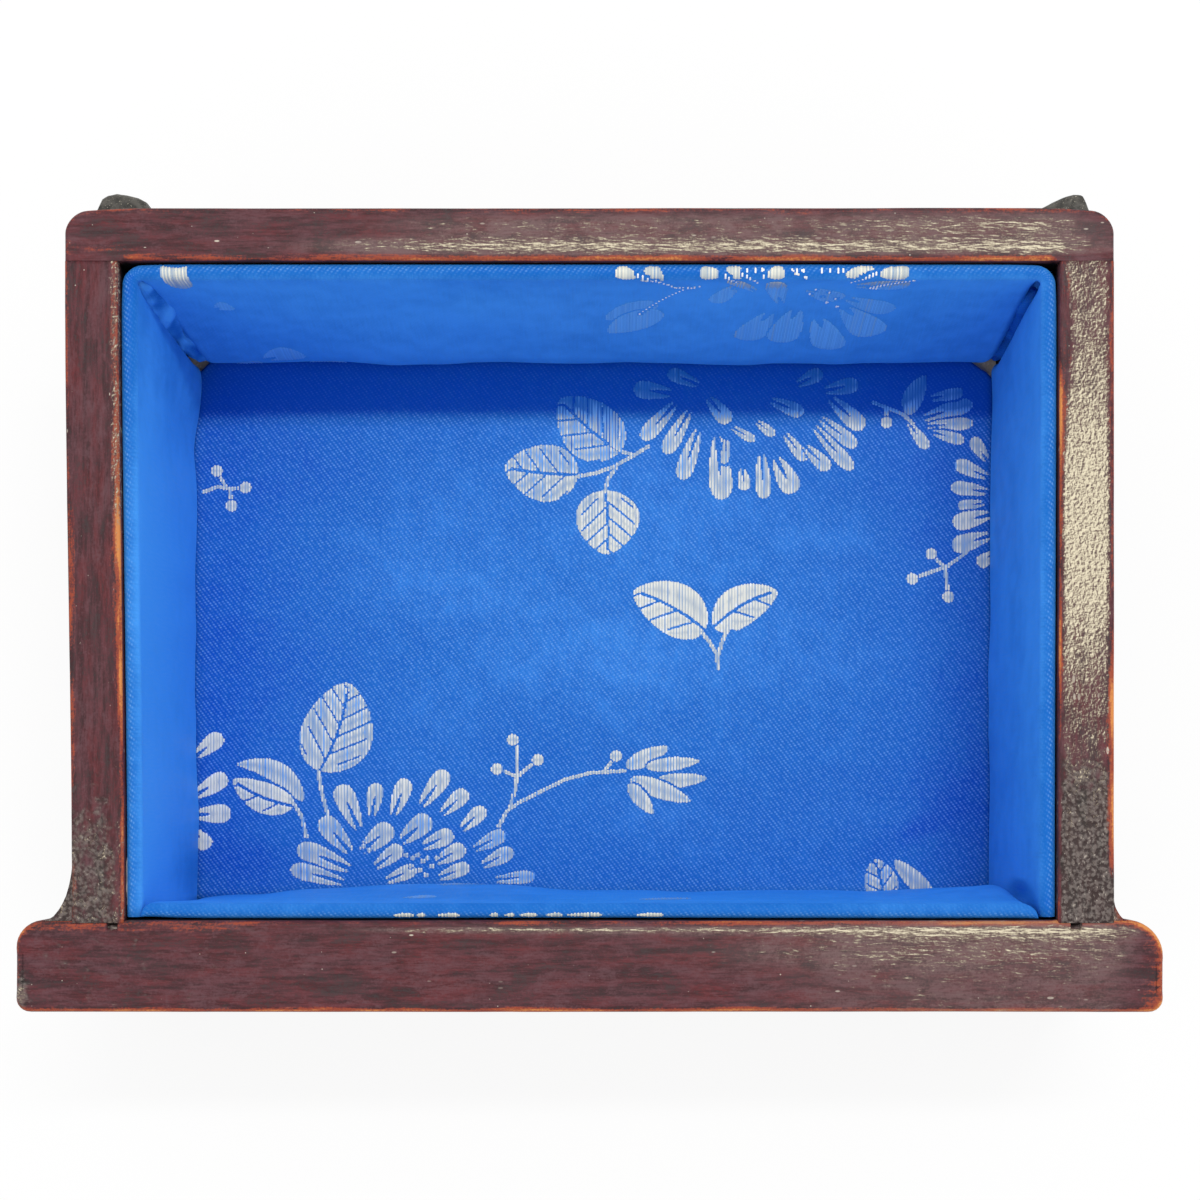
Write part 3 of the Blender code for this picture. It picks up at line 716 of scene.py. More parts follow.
dry_wood, tree, shader = new_material("dry_plain_wood")
place = own_millimetres(tree)
rings = cloud(stretch(place, (0.02, 0.35, 0.35)), 1.6, 5.0, 0.6, 0.6)
pores = cloud(stretch(place, (0.10, 2.2, 2.2)), 2.0, 2.0)
dust = cloud(place, 0.06, 4.0)
colour = blend(rise(rings, 0.32, 0.68), DRY_WOOD_DARK, DRY_WOOD_LIGHT)
colour = blend(both(rise(pores, 0.55, 0.70), 0.5), colour, DRY_WOOD_DARK)
colour = blend(both(rise(dust, 0.45, 0.70), 0.4), colour, DRY_WOOD_DUST)
finish_shader(shader, colour, rise(pores, 0.3, 0.7, 0.65, 0.85), pores, 0.4, 0.0002)


def finish_node(name, material):
    """Puts a material on a CAD node that stays shown."""
    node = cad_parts[name]
    node.data.materials.clear()
    node.data.materials.append(material)


finish_node("bottom_board", dry_wood)


# Front board. A thick board of the same wood that stands past both sides, its rear corners well rounded.
# It takes the most handling: amber along its front edge and right end, and a pale line of painted glare near
# its back edge.

FRONT_REAR_CORNERS = 0.0050, 0.0066
FRONT_FACE_CORNER = 0.0026
FRONT_FACE_RIM = 0.0012
FRONT_REAR_RIM = 0.0012
FRONT_END_RIM = 0.0016
SCUFF_PIXEL = (20.0, 995.0)
TONGUE_PIT_INSET = 0.0017
TONGUE_PIT_WIDTH = 0.0017
TONGUE_PIT_LENGTH = 0.0021
TONGUE_PIT_DEPTH = 0.0015
TONGUE_PIT_SHIFT = 0.0008

pit_middle = side_inner + TONGUE_PIT_INSET + TONGUE_PIT_WIDTH / 2
pit_lines = np.linspace(-1.2, 1.2, 17) * TONGUE_PIT_WIDTH + TONGUE_PIT_SHIFT
points, quads, (face, rear, end), drop = board_surface(
    front_low, front_high, FRONT_FACE_CORNER, FRONT_REAR_CORNERS, FRONT_FACE_RIM, FRONT_REAR_RIM,
    FRONT_END_RIM, np.concatenate([pit_lines - pit_middle, pit_lines + pit_middle]))
x = points[:, 0]
top = on_top(drop)
right_end = end * ramp(x, 0.0, 0.001) + (1 - ramp(x, 0.0, 0.001))
left_end = end * ramp(-x, 0.0, 0.001) + (1 - ramp(-x, 0.0, 0.001))
from_rear = front_high[1] - points[:, 1]
wear = wandering(points, 0.011, 41, 0.55, 1.6) * (
    0.80 * hill(face, 0.0002, 0.0007) + (0.30 + 0.60 * ramp(x, -0.020, 0.080)) * hill(rear, 0.0004, 0.0008)
    + 0.84 * hill(right_end, 0.0000, 0.0018) + 0.30 * hill(right_end, 0.0032, 0.0016)
    + 0.28 * hill(left_end, 0.0002, 0.0009)
    + 0.26 * top * hill(from_rear, 0.0018, 0.0012) * ramp(-x, 0.045, 0.070))
scuff = np.hypot(*(points[:, :2] - photo_point(SCUFF_PIXEL, rim_level)).T / np.array([[0.0012], [0.0020]]))
# Glare: painted lines of highlight near the rear edge and towards the right, and a painted patch at the
# scuff.
gloss = top * (
    (0.68 * hill(from_rear, 0.0019, 0.0005) * ramp(x, -0.055, -0.010)
     + 0.34 * hill(from_rear, 0.0027, 0.0010) * ramp(x, 0.030, 0.062)
     + 0.20 * hill(from_rear, 0.0055, 0.0030) * ramp(x, -0.015, 0.060)
     + 0.18 * ramp(x, 0.010, 0.060)) * (1 - ramp(x, 0.088, 0.099)) + 0.50 * (1 - ramp(scuff, 0.5, 1.2)))
from_pit = np.abs(np.abs(x - TONGUE_PIT_SHIFT) - pit_middle)
pit_side = 1 - ramp(from_pit, 0.42 * TONGUE_PIT_WIDTH, 0.62 * TONGUE_PIT_WIDTH)
pit = pit_side * (1 - ramp(from_rear, TONGUE_PIT_LENGTH - 0.0006, TONGUE_PIT_LENGTH))
pit *= np.clip(0.8 + 0.6 * soft_noise(points, 0.0009, 43), 0.2, 1.0)
soot = (0.10 + 0.09 * ramp(-x, 0.040, 0.080)) * top + 0.5 * top * (1 - ramp(scuff, 0.6, 2.2))
# The tongue pit is painted near black, with soot and the gap's tone: dirt and painted shade in the recess.
soot = np.maximum(soot, pit * 1.5)
points = wear_down(points, quads)
points[:, 2] -= TONGUE_PIT_DEPTH * pit * (1 - ramp(drop, 0.0008, 0.0030))
wear = np.where(np.abs(x) < side_inner, grimed_and_shaded(wear, from_rear, drop), wear) * (1 - pit) - 0.5 * pit
put_piece("worn_front_board", points, quads, WOOD_ACROSS, "stained_wood", "front_board",
          wear=wear, gloss=gloss * (1 - pit), soot=soot)


# Corner fillets. A filling of glue and shavings in each corner between a side and the front board.
# The left one is broad, black and gritty; the right one is a thin amber sliver that has lost its stain.

FILLET_HOLLOW = 1.75
FILLET_LONG = 1.65
FILLET_LAP = 0.0011
FILLET_BELOW_RIM = 0.0005
# The fillets' share of painted glare.
FILLET_GLARE = 0.22
CURVE_STEPS, LEG_STEPS, FILLET_LEVELS = 25, 9, 60


def fillet_surface(low, high, hand, seed):
    """A hollow fillet: its plan, scaled about the corner that it fills, carried from its foot to its top.

    The free side is the hollow curve (1 - t)^h, t^h between the two legs, t from 0 to 1. The filling laps
    over the side board's rounded edge, and both its ends are fans.
    """
    width, depth = high[0] - low[0], high[1] - low[1]
    share = np.linspace(0.0, 1.0, CURVE_STEPS)
    curve = np.stack([(1 - share) ** FILLET_HOLLOW, share ** FILLET_HOLLOW], -1)
    leg = np.linspace(1.0, 0.0, LEG_STEPS)[1:]
    loop = np.concatenate([
        curve * (width, depth), np.stack([0 * leg - FILLET_LAP, 0.9 * depth * leg], -1),
        np.stack([(width + FILLET_LAP) * leg[::-1][1:] - FILLET_LAP, 0 * leg[1:]], -1)])
    levels = np.linspace(low[2], high[2], FILLET_LEVELS)
    rings = np.concatenate([np.repeat(loop[None], len(levels), 0),
                            np.broadcast_to(levels[:, None, None], (len(levels), len(loop), 1))], -1)
    caps = [np.concatenate([loop * size, np.full((len(loop), 1), level)], -1)
            for level, sizes in ((high[2], (0.8, 0.55, 0.3)), (low[2], (0.5,))) for size in sizes]
    points = np.concatenate([caps[3][None], rings, np.stack(caps[:3])])
    rough = soft_noise(points * (1, 1, 0.6), 0.0011, seed) * 0.00022
    rough += soft_noise(points, 0.003, seed + 1) * 0.0002
    points[..., :2] *= 1 - np.clip(rough / width, -0.0, 0.25)[..., None]
    points[-3:, :, 2] -= np.abs(soft_noise(points[-3:], 0.0012, seed + 2)) * 0.0003
    corner_x = low[0] if hand > 0 else high[0]
    points[..., 0] = corner_x + hand * points[..., 0]
    points[..., 1] += low[1]
    quads = grid_faces(*points.shape[:2], loop_columns=True)
    caps = tube_ends(*points.shape[:2])
    faces = (quads if hand > 0 else quads[:, ::-1]).tolist()
    return points.reshape(-1, 3), faces + [cap if hand > 0 else cap[::-1] for cap in caps]


for node, hand, seed, wear, soot, long in (
        ("fillet_left", -1, 51, 0.04, 0.80, FILLET_LONG), ("fillet_right", 1, 55, 0.34, 0.50, 1.0)):
    low, high = map(np.array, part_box(node))
    high[1] = low[1] + (high[1] - low[1]) * long
    low[1] -= SIDE_FRONT_LAP
    high[0] += LEFT_PLANED * (hand < 0)
    high[2] = rim_level - FILLET_BELOW_RIM
    points, faces = fillet_surface(low, high, hand, seed)
    every = np.ones(len(points))
    put_piece("gritty_" + node, points, faces, WOOD_ALONG, "corner_fillet", node,
              wear=wear * every, soot=soot * every, gloss=FILLET_GLARE * every)


# Stops. Two small lumps of dark wood glued behind the back board, steep outside and sloped inside.
# They are bare, grey-green and speckled, and their faces are knife-cut.

STOP_DARK = (0.022, 0.020, 0.015, 1.0)
STOP_GREY = (0.085, 0.078, 0.066, 1.0)
STOP_PALE = (0.420, 0.390, 0.310, 1.0)
STOP_RIGHT_SHIFT = 0.0009
LEFT_PROFILE = {
    0: 0.45, 0.04: 0.62, 0.10: 0.83, 0.2: 0.94, 0.36: 1.0, 0.56: 0.98, 0.78: 0.86, 0.92: 0.74, 1.0: 0.50}
RIGHT_PROFILE = {
    0: 0.52, 0.05: 0.76, 0.11: 0.97, 0.17: 1.0, 0.26: 1.0, 0.34: 0.96, 0.48: 0.87, 0.70: 0.70, 0.83: 0.58,
    1.0: 0.44}
STOP_STEPS = 40

lump, tree, shader = new_material("bare_dark_lump")
place = own_millimetres(tree)
mottle = cloud(place, 0.7, 4.0)
fleck = cloud(place, 2.6, 2.0)
colour = blend(rise(mottle, 0.35, 0.65), STOP_DARK, STOP_GREY)
colour = blend(both(rise(fleck, 0.62, 0.72), 0.8), colour, STOP_PALE)
finish_shader(shader, colour, rise(fleck, 0.3, 0.7, 0.5, 0.75), plus(mottle, both(fleck, 0.4)), 0.6, 0.0005)


def stop_surface(low, high, hand, profile, seed):
    """A lump on the back board: it stands out by f(u) g(v), u from its outer to its inner side and v upwards.

    f runs straight between the shares in profile, with an end face down to the board at each side; g is a
    flat-topped arch.
    """
    side = np.concatenate([[0.0], np.linspace(0.0, 1.0, STOP_STEPS), [1.0]])[:, None]
    up = np.linspace(-1.0, 1.0, STOP_STEPS)[None]
    standing = np.interp(side, list(profile), list(profile.values()))
    standing[[0, -1]] = 0.0
    proud = (high[1] - low[1]) * standing * np.power(1 - np.abs(up) ** 9, 1 / 3)
    outer_x, inner_x = (high[0], low[0]) if hand > 0 else (low[0], high[0])
    points = spread(
        outer_x + (inner_x - outer_x) * side, low[1] + proud,
        (low[2] + high[2]) / 2 + up * (high[2] - low[2]) / 2)
    points[..., 1] -= proud * 0.10 * (0.5 + 0.5 * soft_noise(points, 0.0022, seed))
    rows, columns = points.shape[:2]
    quads = grid_faces(rows, columns)
    border = border_of(rows, columns).tolist()
    faces = (quads if hand < 0 else quads[:, ::-1]).tolist() + [border[::-1] if hand < 0 else border]
    return points.reshape(-1, 3), faces


for node, hand, profile, seed in (("stop_left", -1, LEFT_PROFILE, 61), ("stop_right", 1, RIGHT_PROFILE, 62)):
    low, high = map(np.array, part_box(node))
    shift = np.array([STOP_RIGHT_SHIFT * (hand > 0), 0.0, 0.0])
    points, faces = stop_surface(low + shift, high + shift, hand, profile, seed)
    put_piece("cut_" + node, points, faces, lump, "dark_stop", node)


# Lining cards. Stiff grey-brown boards that carry the silk on the four walls and the floor.
# They show where the silk stops short: at the floor's back corners and as a strip by the left wall.

# The cards' colours are paler than greyboard is: painted light, so that the cards show pale down in the
# shaded corner gaps.
CARD_GREY = (0.680, 0.640, 0.580, 1.0)
CARD_BROWN = (0.440, 0.390, 0.340, 1.0)
CARD_FIBRE = (0.800, 0.760, 0.690, 1.0)

greyboard, tree, shader = new_material("greyboard")
place = own_millimetres(tree)
stain = cloud(place, 0.35, 4.0)
pulp = cloud(place, 2.4, 3.0)
colour = blend(rise(stain, 0.35, 0.65), CARD_BROWN, CARD_GREY)
colour = blend(both(rise(pulp, 0.55, 0.75), 0.6), colour, CARD_FIBRE)
finish_shader(shader, colour, rise(pulp, 0.3, 0.7, 0.8, 0.95), pulp, 0.5, 0.0003)
finish_node("card_floor", greyboard)

CARD_INSET = 0.0010
CARD_THICK = 0.0007
CARD_BELOW_ROLL = 0.0030
CARD_SHORT = 0.0060


def box_surface(low, high):
    """A plain box: its eight corners, counted along Z, then Y, then X, and its six sides."""
    corners = np.array(list(itertools.product(*zip(low, high))))
    return corners, [[0, 1, 3, 2], [4, 6, 7, 5], [0, 4, 5, 1], [2, 3, 7, 6], [0, 2, 6, 4], [1, 5, 7, 3]]


for side, axis, sign in (("left", 0, 1), ("right", 0, -1), ("back", 1, -1), ("front", 1, 1)):
    low, high = map(np.array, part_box("card_" + side))
    wood = {"left": -side_inner, "right": side_inner, "back": back_low[1], "front": front_high[1]}[side]
    low[axis], high[axis] = sorted((wood + sign * CARD_INSET, wood + sign * (CARD_INSET + CARD_THICK)))
    low[1 - axis], high[1 - axis] = low[1 - axis] + CARD_SHORT, high[1 - axis] - CARD_SHORT
    high[2] -= CARD_BELOW_ROLL
    card = put_piece("trimmed_card_" + side, *box_surface(low, high), greyboard, "greyboard", "card_" + side)
    card.data.shade_flat()

STRIP_FRONT, STRIP_BACK = (125.5, 905.0), (125.5, 857.0)
STRIP_THICKNESS = 0.0006
STRIP_DROP = 0.0024
STRIP_DEEP = 0.0240
STRIP_CLEAR = 0.0001
STRIP_STEPS = 50

strip_top = rim_level - STRIP_DROP
strip_y = [photo_point(pixel, strip_top)[1] for pixel in (STRIP_FRONT, STRIP_BACK)]
strip_x = -side_inner + STRIP_CLEAR
along = np.linspace(*strip_y, STRIP_STEPS)
strip_foot = -STRIP_DEEP / STRIP_THICKNESS
loop = np.array([[0, 0], [0.5, 0.06], [1, 0], [1, strip_foot], [0, strip_foot]])
points = spread(
    strip_x + STRIP_THICKNESS * loop[:, 0], along[:, None], strip_top + STRIP_THICKNESS * loop[:, 1])
points[:, :3, 2] += 0.0005 * soft_noise(points[:, :3] * (0, 1, 0), 0.002, 71)
quads = grid_faces(*points.shape[:2], loop_columns=True)
put_piece("card_strip_left", points, quads.tolist() + tube_ends(*points.shape[:2]), greyboard, "greyboard")


# Floor lining. Blue figured silk over a thin wadding, laid on a card; its back corners are cut off short.
# The satin ground shows slanted rows of pale dots where the weft crosses, and it lies in slow shallow waves.

FLOOR_CROWN = 0.0005
FLOOR_EDGE_FALL = 0.0016
FLOOR_CUT_DEPTH = 0.0105
FLOOR_CUT_WIDTH = 0.0135
FLOOR_COLUMNS, FLOOR_ROWS = 170, 124
# Painted shade lines of slack folds: pixel, slope, width, depth of darkening.
FOLD_SHADE_LINES = (
    ((930.0, 825.0), 0.35, 0.0022, 0.09), ((960.0, 790.0), 0.75, 0.0040, 0.08),
    ((240.0, 860.0), -0.2, 0.004, 0.06))
# The silk in shade, plain and lit: the Shade field paints light and shade on it by blending between them.
SILK_SHADED = (0.000, 0.072, 0.480, 1.0)
SILK_BLUE = (0.009, 0.136, 0.525, 1.0)
SILK_LIT = (0.074, 0.368, 0.945, 1.0)
DOT_PALE = (0.250, 0.520, 0.970, 1.0)
SHEEN_BLUE = (0.050, 0.360, 1.000, 1.0)
TWILL_STEEP = (1.09, 0.88, 0.0)
TWILL_FLAT = (0.64, -1.78, 0.0)

satin, given, made = new_group(
    "figured_satin",
    {"Cloth": "Vector", "Dots": "Float", "Shade": "Float"},
    {"Colour": "Color", "Roughness": "Float", "Height": "Float"},
)
bend = both(cloud(given["Cloth"], 0.4, 2.0), 2.2)


def twill(waves):
    """Lines across the cloth, 0 to 1: the cosine of the cloth's place times waves per mm, a little bent."""
    place = add_node(satin, "ShaderNodeVectorMath", {0: given["Cloth"], 1: waves}, operation="DOT_PRODUCT")
    turn = plus(both(place.outputs["Value"], 2 * np.pi), bend)
    return rise(work_out("COSINE", turn), -0.8, 1.0)


lattice = both(twill(TWILL_STEEP), plus(both(twill(TWILL_FLAT), 0.75), 0.25))
uneven = rise(cloud(given["Cloth"], 1.1, 3.0), 0.32, 0.66, 0.15, 1.0)
spark = both(both(lattice, uneven), given["Dots"])
thread = cloud(stretch(given["Cloth"], (1.0, 0.08, 1.0)), 2.6, 2.0)
broad = rise(cloud(stretch(given["Cloth"], (0.6, 1.4, 1.0)), 0.035, 2.0), 0.2, 0.8, 0.45, 0.55)
broad = plus(broad, rise(cloud(given["Cloth"], 0.22, 3.0), 0.3, 0.7, -0.025, 0.025))
# Tone: random, plus the painted light and shade given as Shade.
tone = plus(plus(broad, vary(thread, 0.12)), given["Shade"])
colour = blend(rise(tone, 0.25, 0.55), SILK_SHADED, SILK_BLUE)
colour = blend(rise(tone, 0.50, 0.85), colour, SILK_LIT)
colour = blend(both(spark, 0.55), colour, DOT_PALE)
roughness = rise(thread, 0.3, 0.7, 0.42, 0.56)
height = plus(spark, both(thread, 0.3))
join(made, Colour=colour, Roughness=roughness, Height=height)

silk, tree, shader = new_material("blue_figured_silk")
cloth = add_node(tree, "ShaderNodeAttribute", attribute_name="cloth").outputs["Vector"]
weave = add_node(tree, "ShaderNodeGroup", {
    "Cloth": stretch(cloth, (1000.0, 1000.0, 1000.0)),
    "Dots": field_value(tree, "dots"), "Shade": field_value(tree, "shade")}, node_tree=satin)
finish_shader(shader, *weave.outputs, 0.25, 0.0002, {
    "Specular IOR Level": 0.06, "Sheen Weight": 0.60, "Sheen Roughness": 0.45, "Sheen Tint": SHEEN_BLUE})

floor_low, floor_high = map(np.array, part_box("silk_floor"))
floor_top = floor_high[2] - FLOOR_CROWN


def floor_height(x, y):
    """Level of the floor silk: a low crown that dies out at the walls, and slow waves of soft noise."""
    inside = np.minimum(x - floor_low[0], floor_high[0] - x)
    inside = np.minimum(inside, np.minimum(y - floor_low[1], floor_high[1] - y))
    place = spread(x * 0.7, y * 1.3, 0.0)
    waves = 0.00028 * soft_noise(place, 0.022, 81) + 0.00010 * soft_noise(place, 0.008, 82)
    edge = FLOOR_EDGE_FALL * (1 - np.sqrt(np.clip(inside / 0.0022, 0, 1)))
    return floor_top + (FLOOR_CROWN + waves) * ramp(inside, 0.003, 0.016) - edge


columns, rows = FLOOR_COLUMNS, FLOOR_ROWS
y = np.linspace(floor_low[1], floor_high[1], rows)[:, None]
cut = np.clip(y - (floor_high[1] - FLOOR_CUT_DEPTH), 0, None) * FLOOR_CUT_WIDTH / FLOOR_CUT_DEPTH
share = np.linspace(0.0, 1.0, columns)
x = (floor_low[0] + cut) + (floor_high[0] - floor_low[0] - 2 * cut) * share
y = np.broadcast_to(y, x.shape)
frayed = 0.0004 * soft_noise(spread(x, y, 0.0), 0.003, 83) * (y > floor_high[1] - FLOOR_CUT_DEPTH)
upper = spread(x, y + frayed, floor_height(x, y))
lower = spread(x, y + frayed, floor_low[2])
# Painted light and shade on the floor silk: darker by the left and right walls, lighter near the middle, the
# back wall's painted shadow over in_shade, and dark lines along slack folds.
shade = 0.03 - 0.14 * (1 - ramp(x - floor_low[0], 0.000, 0.050))
shade += 0.07 * hill(x, 0.005, 0.050) * hill(y, 0.008, 0.030)
in_shade = ramp(y, 0.0395, 0.0420)
shade += -0.15 * (1 - ramp(floor_high[0] - x, 0.000, 0.036)) - 0.24 * in_shade
for pixel, slope, width, depth in FOLD_SHADE_LINES:
    fold_x, fold_y = photo_point(pixel, floor_top)
    shade -= depth * hill(y - fold_y - slope * (x - fold_x), 0.0, width) * hill(x, fold_x, 0.012)
border = border_of(rows, columns)
after, below = np.roll(border, -1), rows * columns
skirt = np.stack([border, border + below, after + below, after], -1)
sheet = grid_faces(rows, columns)
quads = np.concatenate([sheet, sheet[:, ::-1] + below, skirt])
points = np.concatenate([upper.reshape(-1, 3), lower.reshape(-1, 3)])
# The pale weave dots fade in the back wall's painted shadow.
dots = 1 - 0.85 * in_shade
floor_silk = put_piece(
    "silk_floor_pad", points, quads, silk, "brocade", "silk_floor", "wadding_floor",
    cloth=points * (1, 1, 0), dots=np.tile(dots.ravel(), 2), shade=np.tile(shade.ravel(), 2))


# Wall lining. One padded band of the same silk runs along the left wall, across the back and down the right.
# Its top edge is rolled over the cards; it is pinched into the back corners, with a tuck of silk in each.

LINING_EDGE = 0.0028
CORNER_TURN = 0.0036
CORNER_START = 0.00045
BEHIND_STEPS, ROLL_STEPS, FACE_STEPS, FOOT_STEPS = 9, 11, 44, 7
BEHIND_SHORT = 0.0040
SIDE_COLUMNS, BACK_COLUMNS = 130, 110
WALL_FRONT_SHORT = 0.0004
PINCH_LEAST = 0.0003
TUCK_STATIONS, TUCK_ROUND = 60, 24
FOOT_ROLL = 0.0011
PINCH_DEPTH = 0.0060
LEFT_GROOVE, RIGHT_GROOVE = 0.0022, 0.0020
BACK_BELLY = 0.0052
LEFT_BELLY, LEFT_BULGE, LEFT_BULGE_AT = 0.0004, 0.0021, 0.0115
RIGHT_BELLY = 0.0001
FRONT_FOLD_SHADE = 0.66
WALL_GAP = 0.00005
CORNER_GAP = 0.0003
WALL_CREST, WALL_SELVEDGE = (0.45, 0.33), (0.38, 0.11)
ROLL_RAISED = 0.0008
# The last number of each tuck is its painted shade: lighter on the left tuck, darker in the right slit.
LEFT_TUCK = ((138.0, 281.0), 0.0034, (203.0, 360.0), 0.0040, 0.0024, 0.18)
RIGHT_TUCK = ((1036.0, 293.0), 0.0110, (995.0, 358.0), 0.0006, 0.0026, -0.12)

wall_low, wall_high = map(np.array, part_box("silk_back"))
lining_top, lining_foot = wall_high[2] + ROLL_RAISED, wall_low[2]
back_inner, front_inner = back_low[1], front_high[1]


def crowded(length, count, crowd=2.3):
    """Distances that start close together and spread out: length (e^(kt) - 1) / (e^k - 1)."""
    return length * np.expm1(crowd * np.linspace(0, 1, count)) / np.expm1(crowd)


def lining_section(gap, face):
    """A padded panel's closed section for every column: offsets from the wood, heights, and length along it.

    It goes up behind, over the top in a half circle, down the face and round the foot in a quarter circle.
    gap is the clearance behind each column, and face the front's offset for each face row and column.
    """
    roll = (face[0] - gap) / 2
    angle = np.linspace(np.pi, 0.0, ROLL_STEPS)[:, None]
    under = np.linspace(0.0, np.pi / 2, FOOT_STEPS)[1:, None]
    behind = np.linspace(lining_foot, lining_top - BEHIND_SHORT, BEHIND_STEPS)[:, None]
    fall = np.linspace(0.0, 1.0, FACE_STEPS)[1:, None]
    start, end = lining_top - roll, lining_foot + FOOT_ROLL
    offsets = np.concatenate([
        gap + 0 * behind, gap + roll + roll * np.cos(angle), face[1:],
        face[-1] - FOOT_ROLL * (1 - np.cos(under)), (face[-1:] - FOOT_ROLL) * 0.5 + gap * 0.5])
    levels = np.concatenate([
        behind + 0 * gap, start + roll * np.sin(angle), start + (end - start) * fall,
        end - FOOT_ROLL * np.sin(under) + 0 * gap, np.full((1, face.shape[1]), lining_foot)])
    step = np.hypot(np.diff(offsets, axis=0), np.diff(levels, axis=0)).mean(1)
    return offsets, levels, np.concatenate([[0.0], np.cumsum(step)])


FACE_FIRST = BEHIND_STEPS + ROLL_STEPS - 1
fall = np.linspace(0.0, 1.0, FACE_STEPS)[:, None]
lean = ramp(fall, 0.0, 1.0) * (1 - 0.20 * np.clip(1 - (1 - fall) / 0.18, 0, 1) ** 2)
side_run = crowded(back_inner - front_inner - WALL_FRONT_SHORT - CORNER_START, SIDE_COLUMNS) + CORNER_START
back_run = crowded(side_inner - CORNER_START, BACK_COLUMNS) + CORNER_START
far = np.concatenate([side_run[::-1], back_run, back_run[:-1][::-1], side_run])
wall = np.repeat([0, 1, 2, 3], [len(side_run), len(back_run), len(back_run) - 1, len(side_run)])
path = np.concatenate([[0.0], np.cumsum(np.abs(np.diff(far)) + (np.diff(wall) % 2 != 0) * 0.001)])
belly = np.array([LEFT_BELLY, BACK_BELLY, BACK_BELLY, RIGHT_BELLY])[wall]
beside = np.array([BACK_BELLY, LEFT_BELLY + LEFT_BULGE, RIGHT_BELLY, BACK_BELLY])[wall]
gap = WALL_GAP + CORNER_GAP * hill(far, 0.0, 0.0050)
mark = spread(path, fall * 0.045, 0.0)
bulge = LEFT_BULGE * hill(far, LEFT_BULGE_AT, 0.0075) * (wall == 0)
ripple = 0.00045 * soft_noise(mark, 0.016, 91) + 0.00020 * soft_noise(mark * (1.0, 0.35, 1.0), 0.006, 92)
ripple = ripple * np.sqrt(np.clip(fall * 4, 0, 1)) * ramp(far, 0.002, 0.012)
thick = LINING_EDGE + (belly + bulge) * lean + ripple
groove = np.where(wall < 2, LEFT_GROOVE, RIGHT_GROOVE)


def pinch(offset, far, beside):
    """A pad's front near a corner: rounded off by a quarter circle beside the other pad, then straight in.

    The circle's radius is the groove's half width; beside is how far the other pad stands out.
    """
    share = np.clip((far - beside) / groove, 0.0, 1.0)
    rounded = offset - groove * (1 - np.sqrt(1 - (1 - share) ** 2))
    return np.where(far > beside, rounded, (offset - groove) * far / beside)


offsets, levels, down = lining_section(gap, thick)
under_face = np.ones(len(offsets) - FACE_FIRST - FACE_STEPS)
face_share = np.concatenate([np.zeros(FACE_FIRST), fall[:, 0], under_face])[:, None]
beside_rows = LINING_EDGE + beside[None] * np.interp(face_share[:, 0], fall[:, 0], lean[:, 0])[:, None]
pinched = np.maximum(pinch(offsets, far, beside_rows), PINCH_LEAST)
swing = np.pi / 4 * np.clip(1 - (far - CORNER_START) / (CORNER_TURN - CORNER_START), 0, 1)
radius = CORNER_TURN - offsets
rounded_off = np.where(far < CORNER_TURN, CORNER_TURN - radius * np.cos(swing), offsets)
rounded_far = np.where(far < CORNER_TURN, CORNER_TURN - radius * np.sin(swing), far + 0 * offsets)
depth_down = np.clip(down[:, None] - down[FACE_FIRST], 0, None)
settled = ramp(depth_down, 0.0, PINCH_DEPTH)
off = rounded_off + (pinched - rounded_off) * settled
run = rounded_far + (far - rounded_far) * settled
on_side = (wall == 0) | (wall == 3)
along_y = back_inner - np.where(on_side, far, 0.0)
skew = np.where(wall < 2, inner_skew(along_y, LEFT_SKEW_BACK, LEFT_SKEW_FRONT),
                inner_skew(along_y, RIGHT_SKEW_BACK, RIGHT_SKEW_FRONT))
skew = skew * np.where(on_side, 1.0, np.clip(1 - far / 0.020, 0, 1))
origin_x = np.array([-side_inner, -side_inner, side_inner, side_inner])[wall]
hand = np.sign(-origin_x)
origin_x = origin_x + skew
band = spread(origin_x + hand * np.where(on_side, off, run), back_inner - np.where(on_side, run, off), levels)
rows, columns = band.shape[:2]
quads = grid_faces(rows, columns, loop_rows=True)[:, ::-1]
number = numbered(rows, columns)
ends = [number[::-1, 0].tolist(), number[:, -1].tolist()]


def round_roll(middle, width):
    """A bell over the rows of a panel: its middle and width are shares of the roll along its top."""
    return hill(np.arange(rows), BEHIND_STEPS + ROLL_STEPS * middle, ROLL_STEPS * width)[:, None]


crest, selvedge = (round_roll(*place) + 0 * off for place in (WALL_CREST, WALL_SELVEDGE))
cloth = spread(path, down[:, None], 0.0)
# Painted light and shade on the band: lighter on the walls and most on the left, a little darker down the
# face, darker on the roll's crest, and darker on the left wall near the back.
side_shade = np.array([0.34, 0.26, 0.26, 0.26])[wall] - 0.05 * face_share - 0.25 * crest
side_shade = side_shade - 0.16 * hill(far, 0.0, 0.026) * (wall == 0)
# Darker low on the left wall, towards the front.
left_wall_dark_patch = 0.22 * hill(band[..., 1], -0.050, 0.006) * (wall == 0) * ramp(face_share, 0.3, 0.8)
# Painted shade in the back corners' grooves.
crease_shade = np.where(wall < 2, 0.52, 0.40) * (1 - ramp(far - beside_rows, -0.3 * groove, 0.9 * groove)) * settled
# A painted shadow on the right wall where the front pad's end curls against it.
front_fold_shadow = FRONT_FOLD_SHADE * (wall == 3) * hill(face_share, 0.26, 0.20) * hill(
    band[..., 1] - front_inner, 0.0034 + 0.0013 * ramp(face_share, 0.05, 0.40), 0.0010)

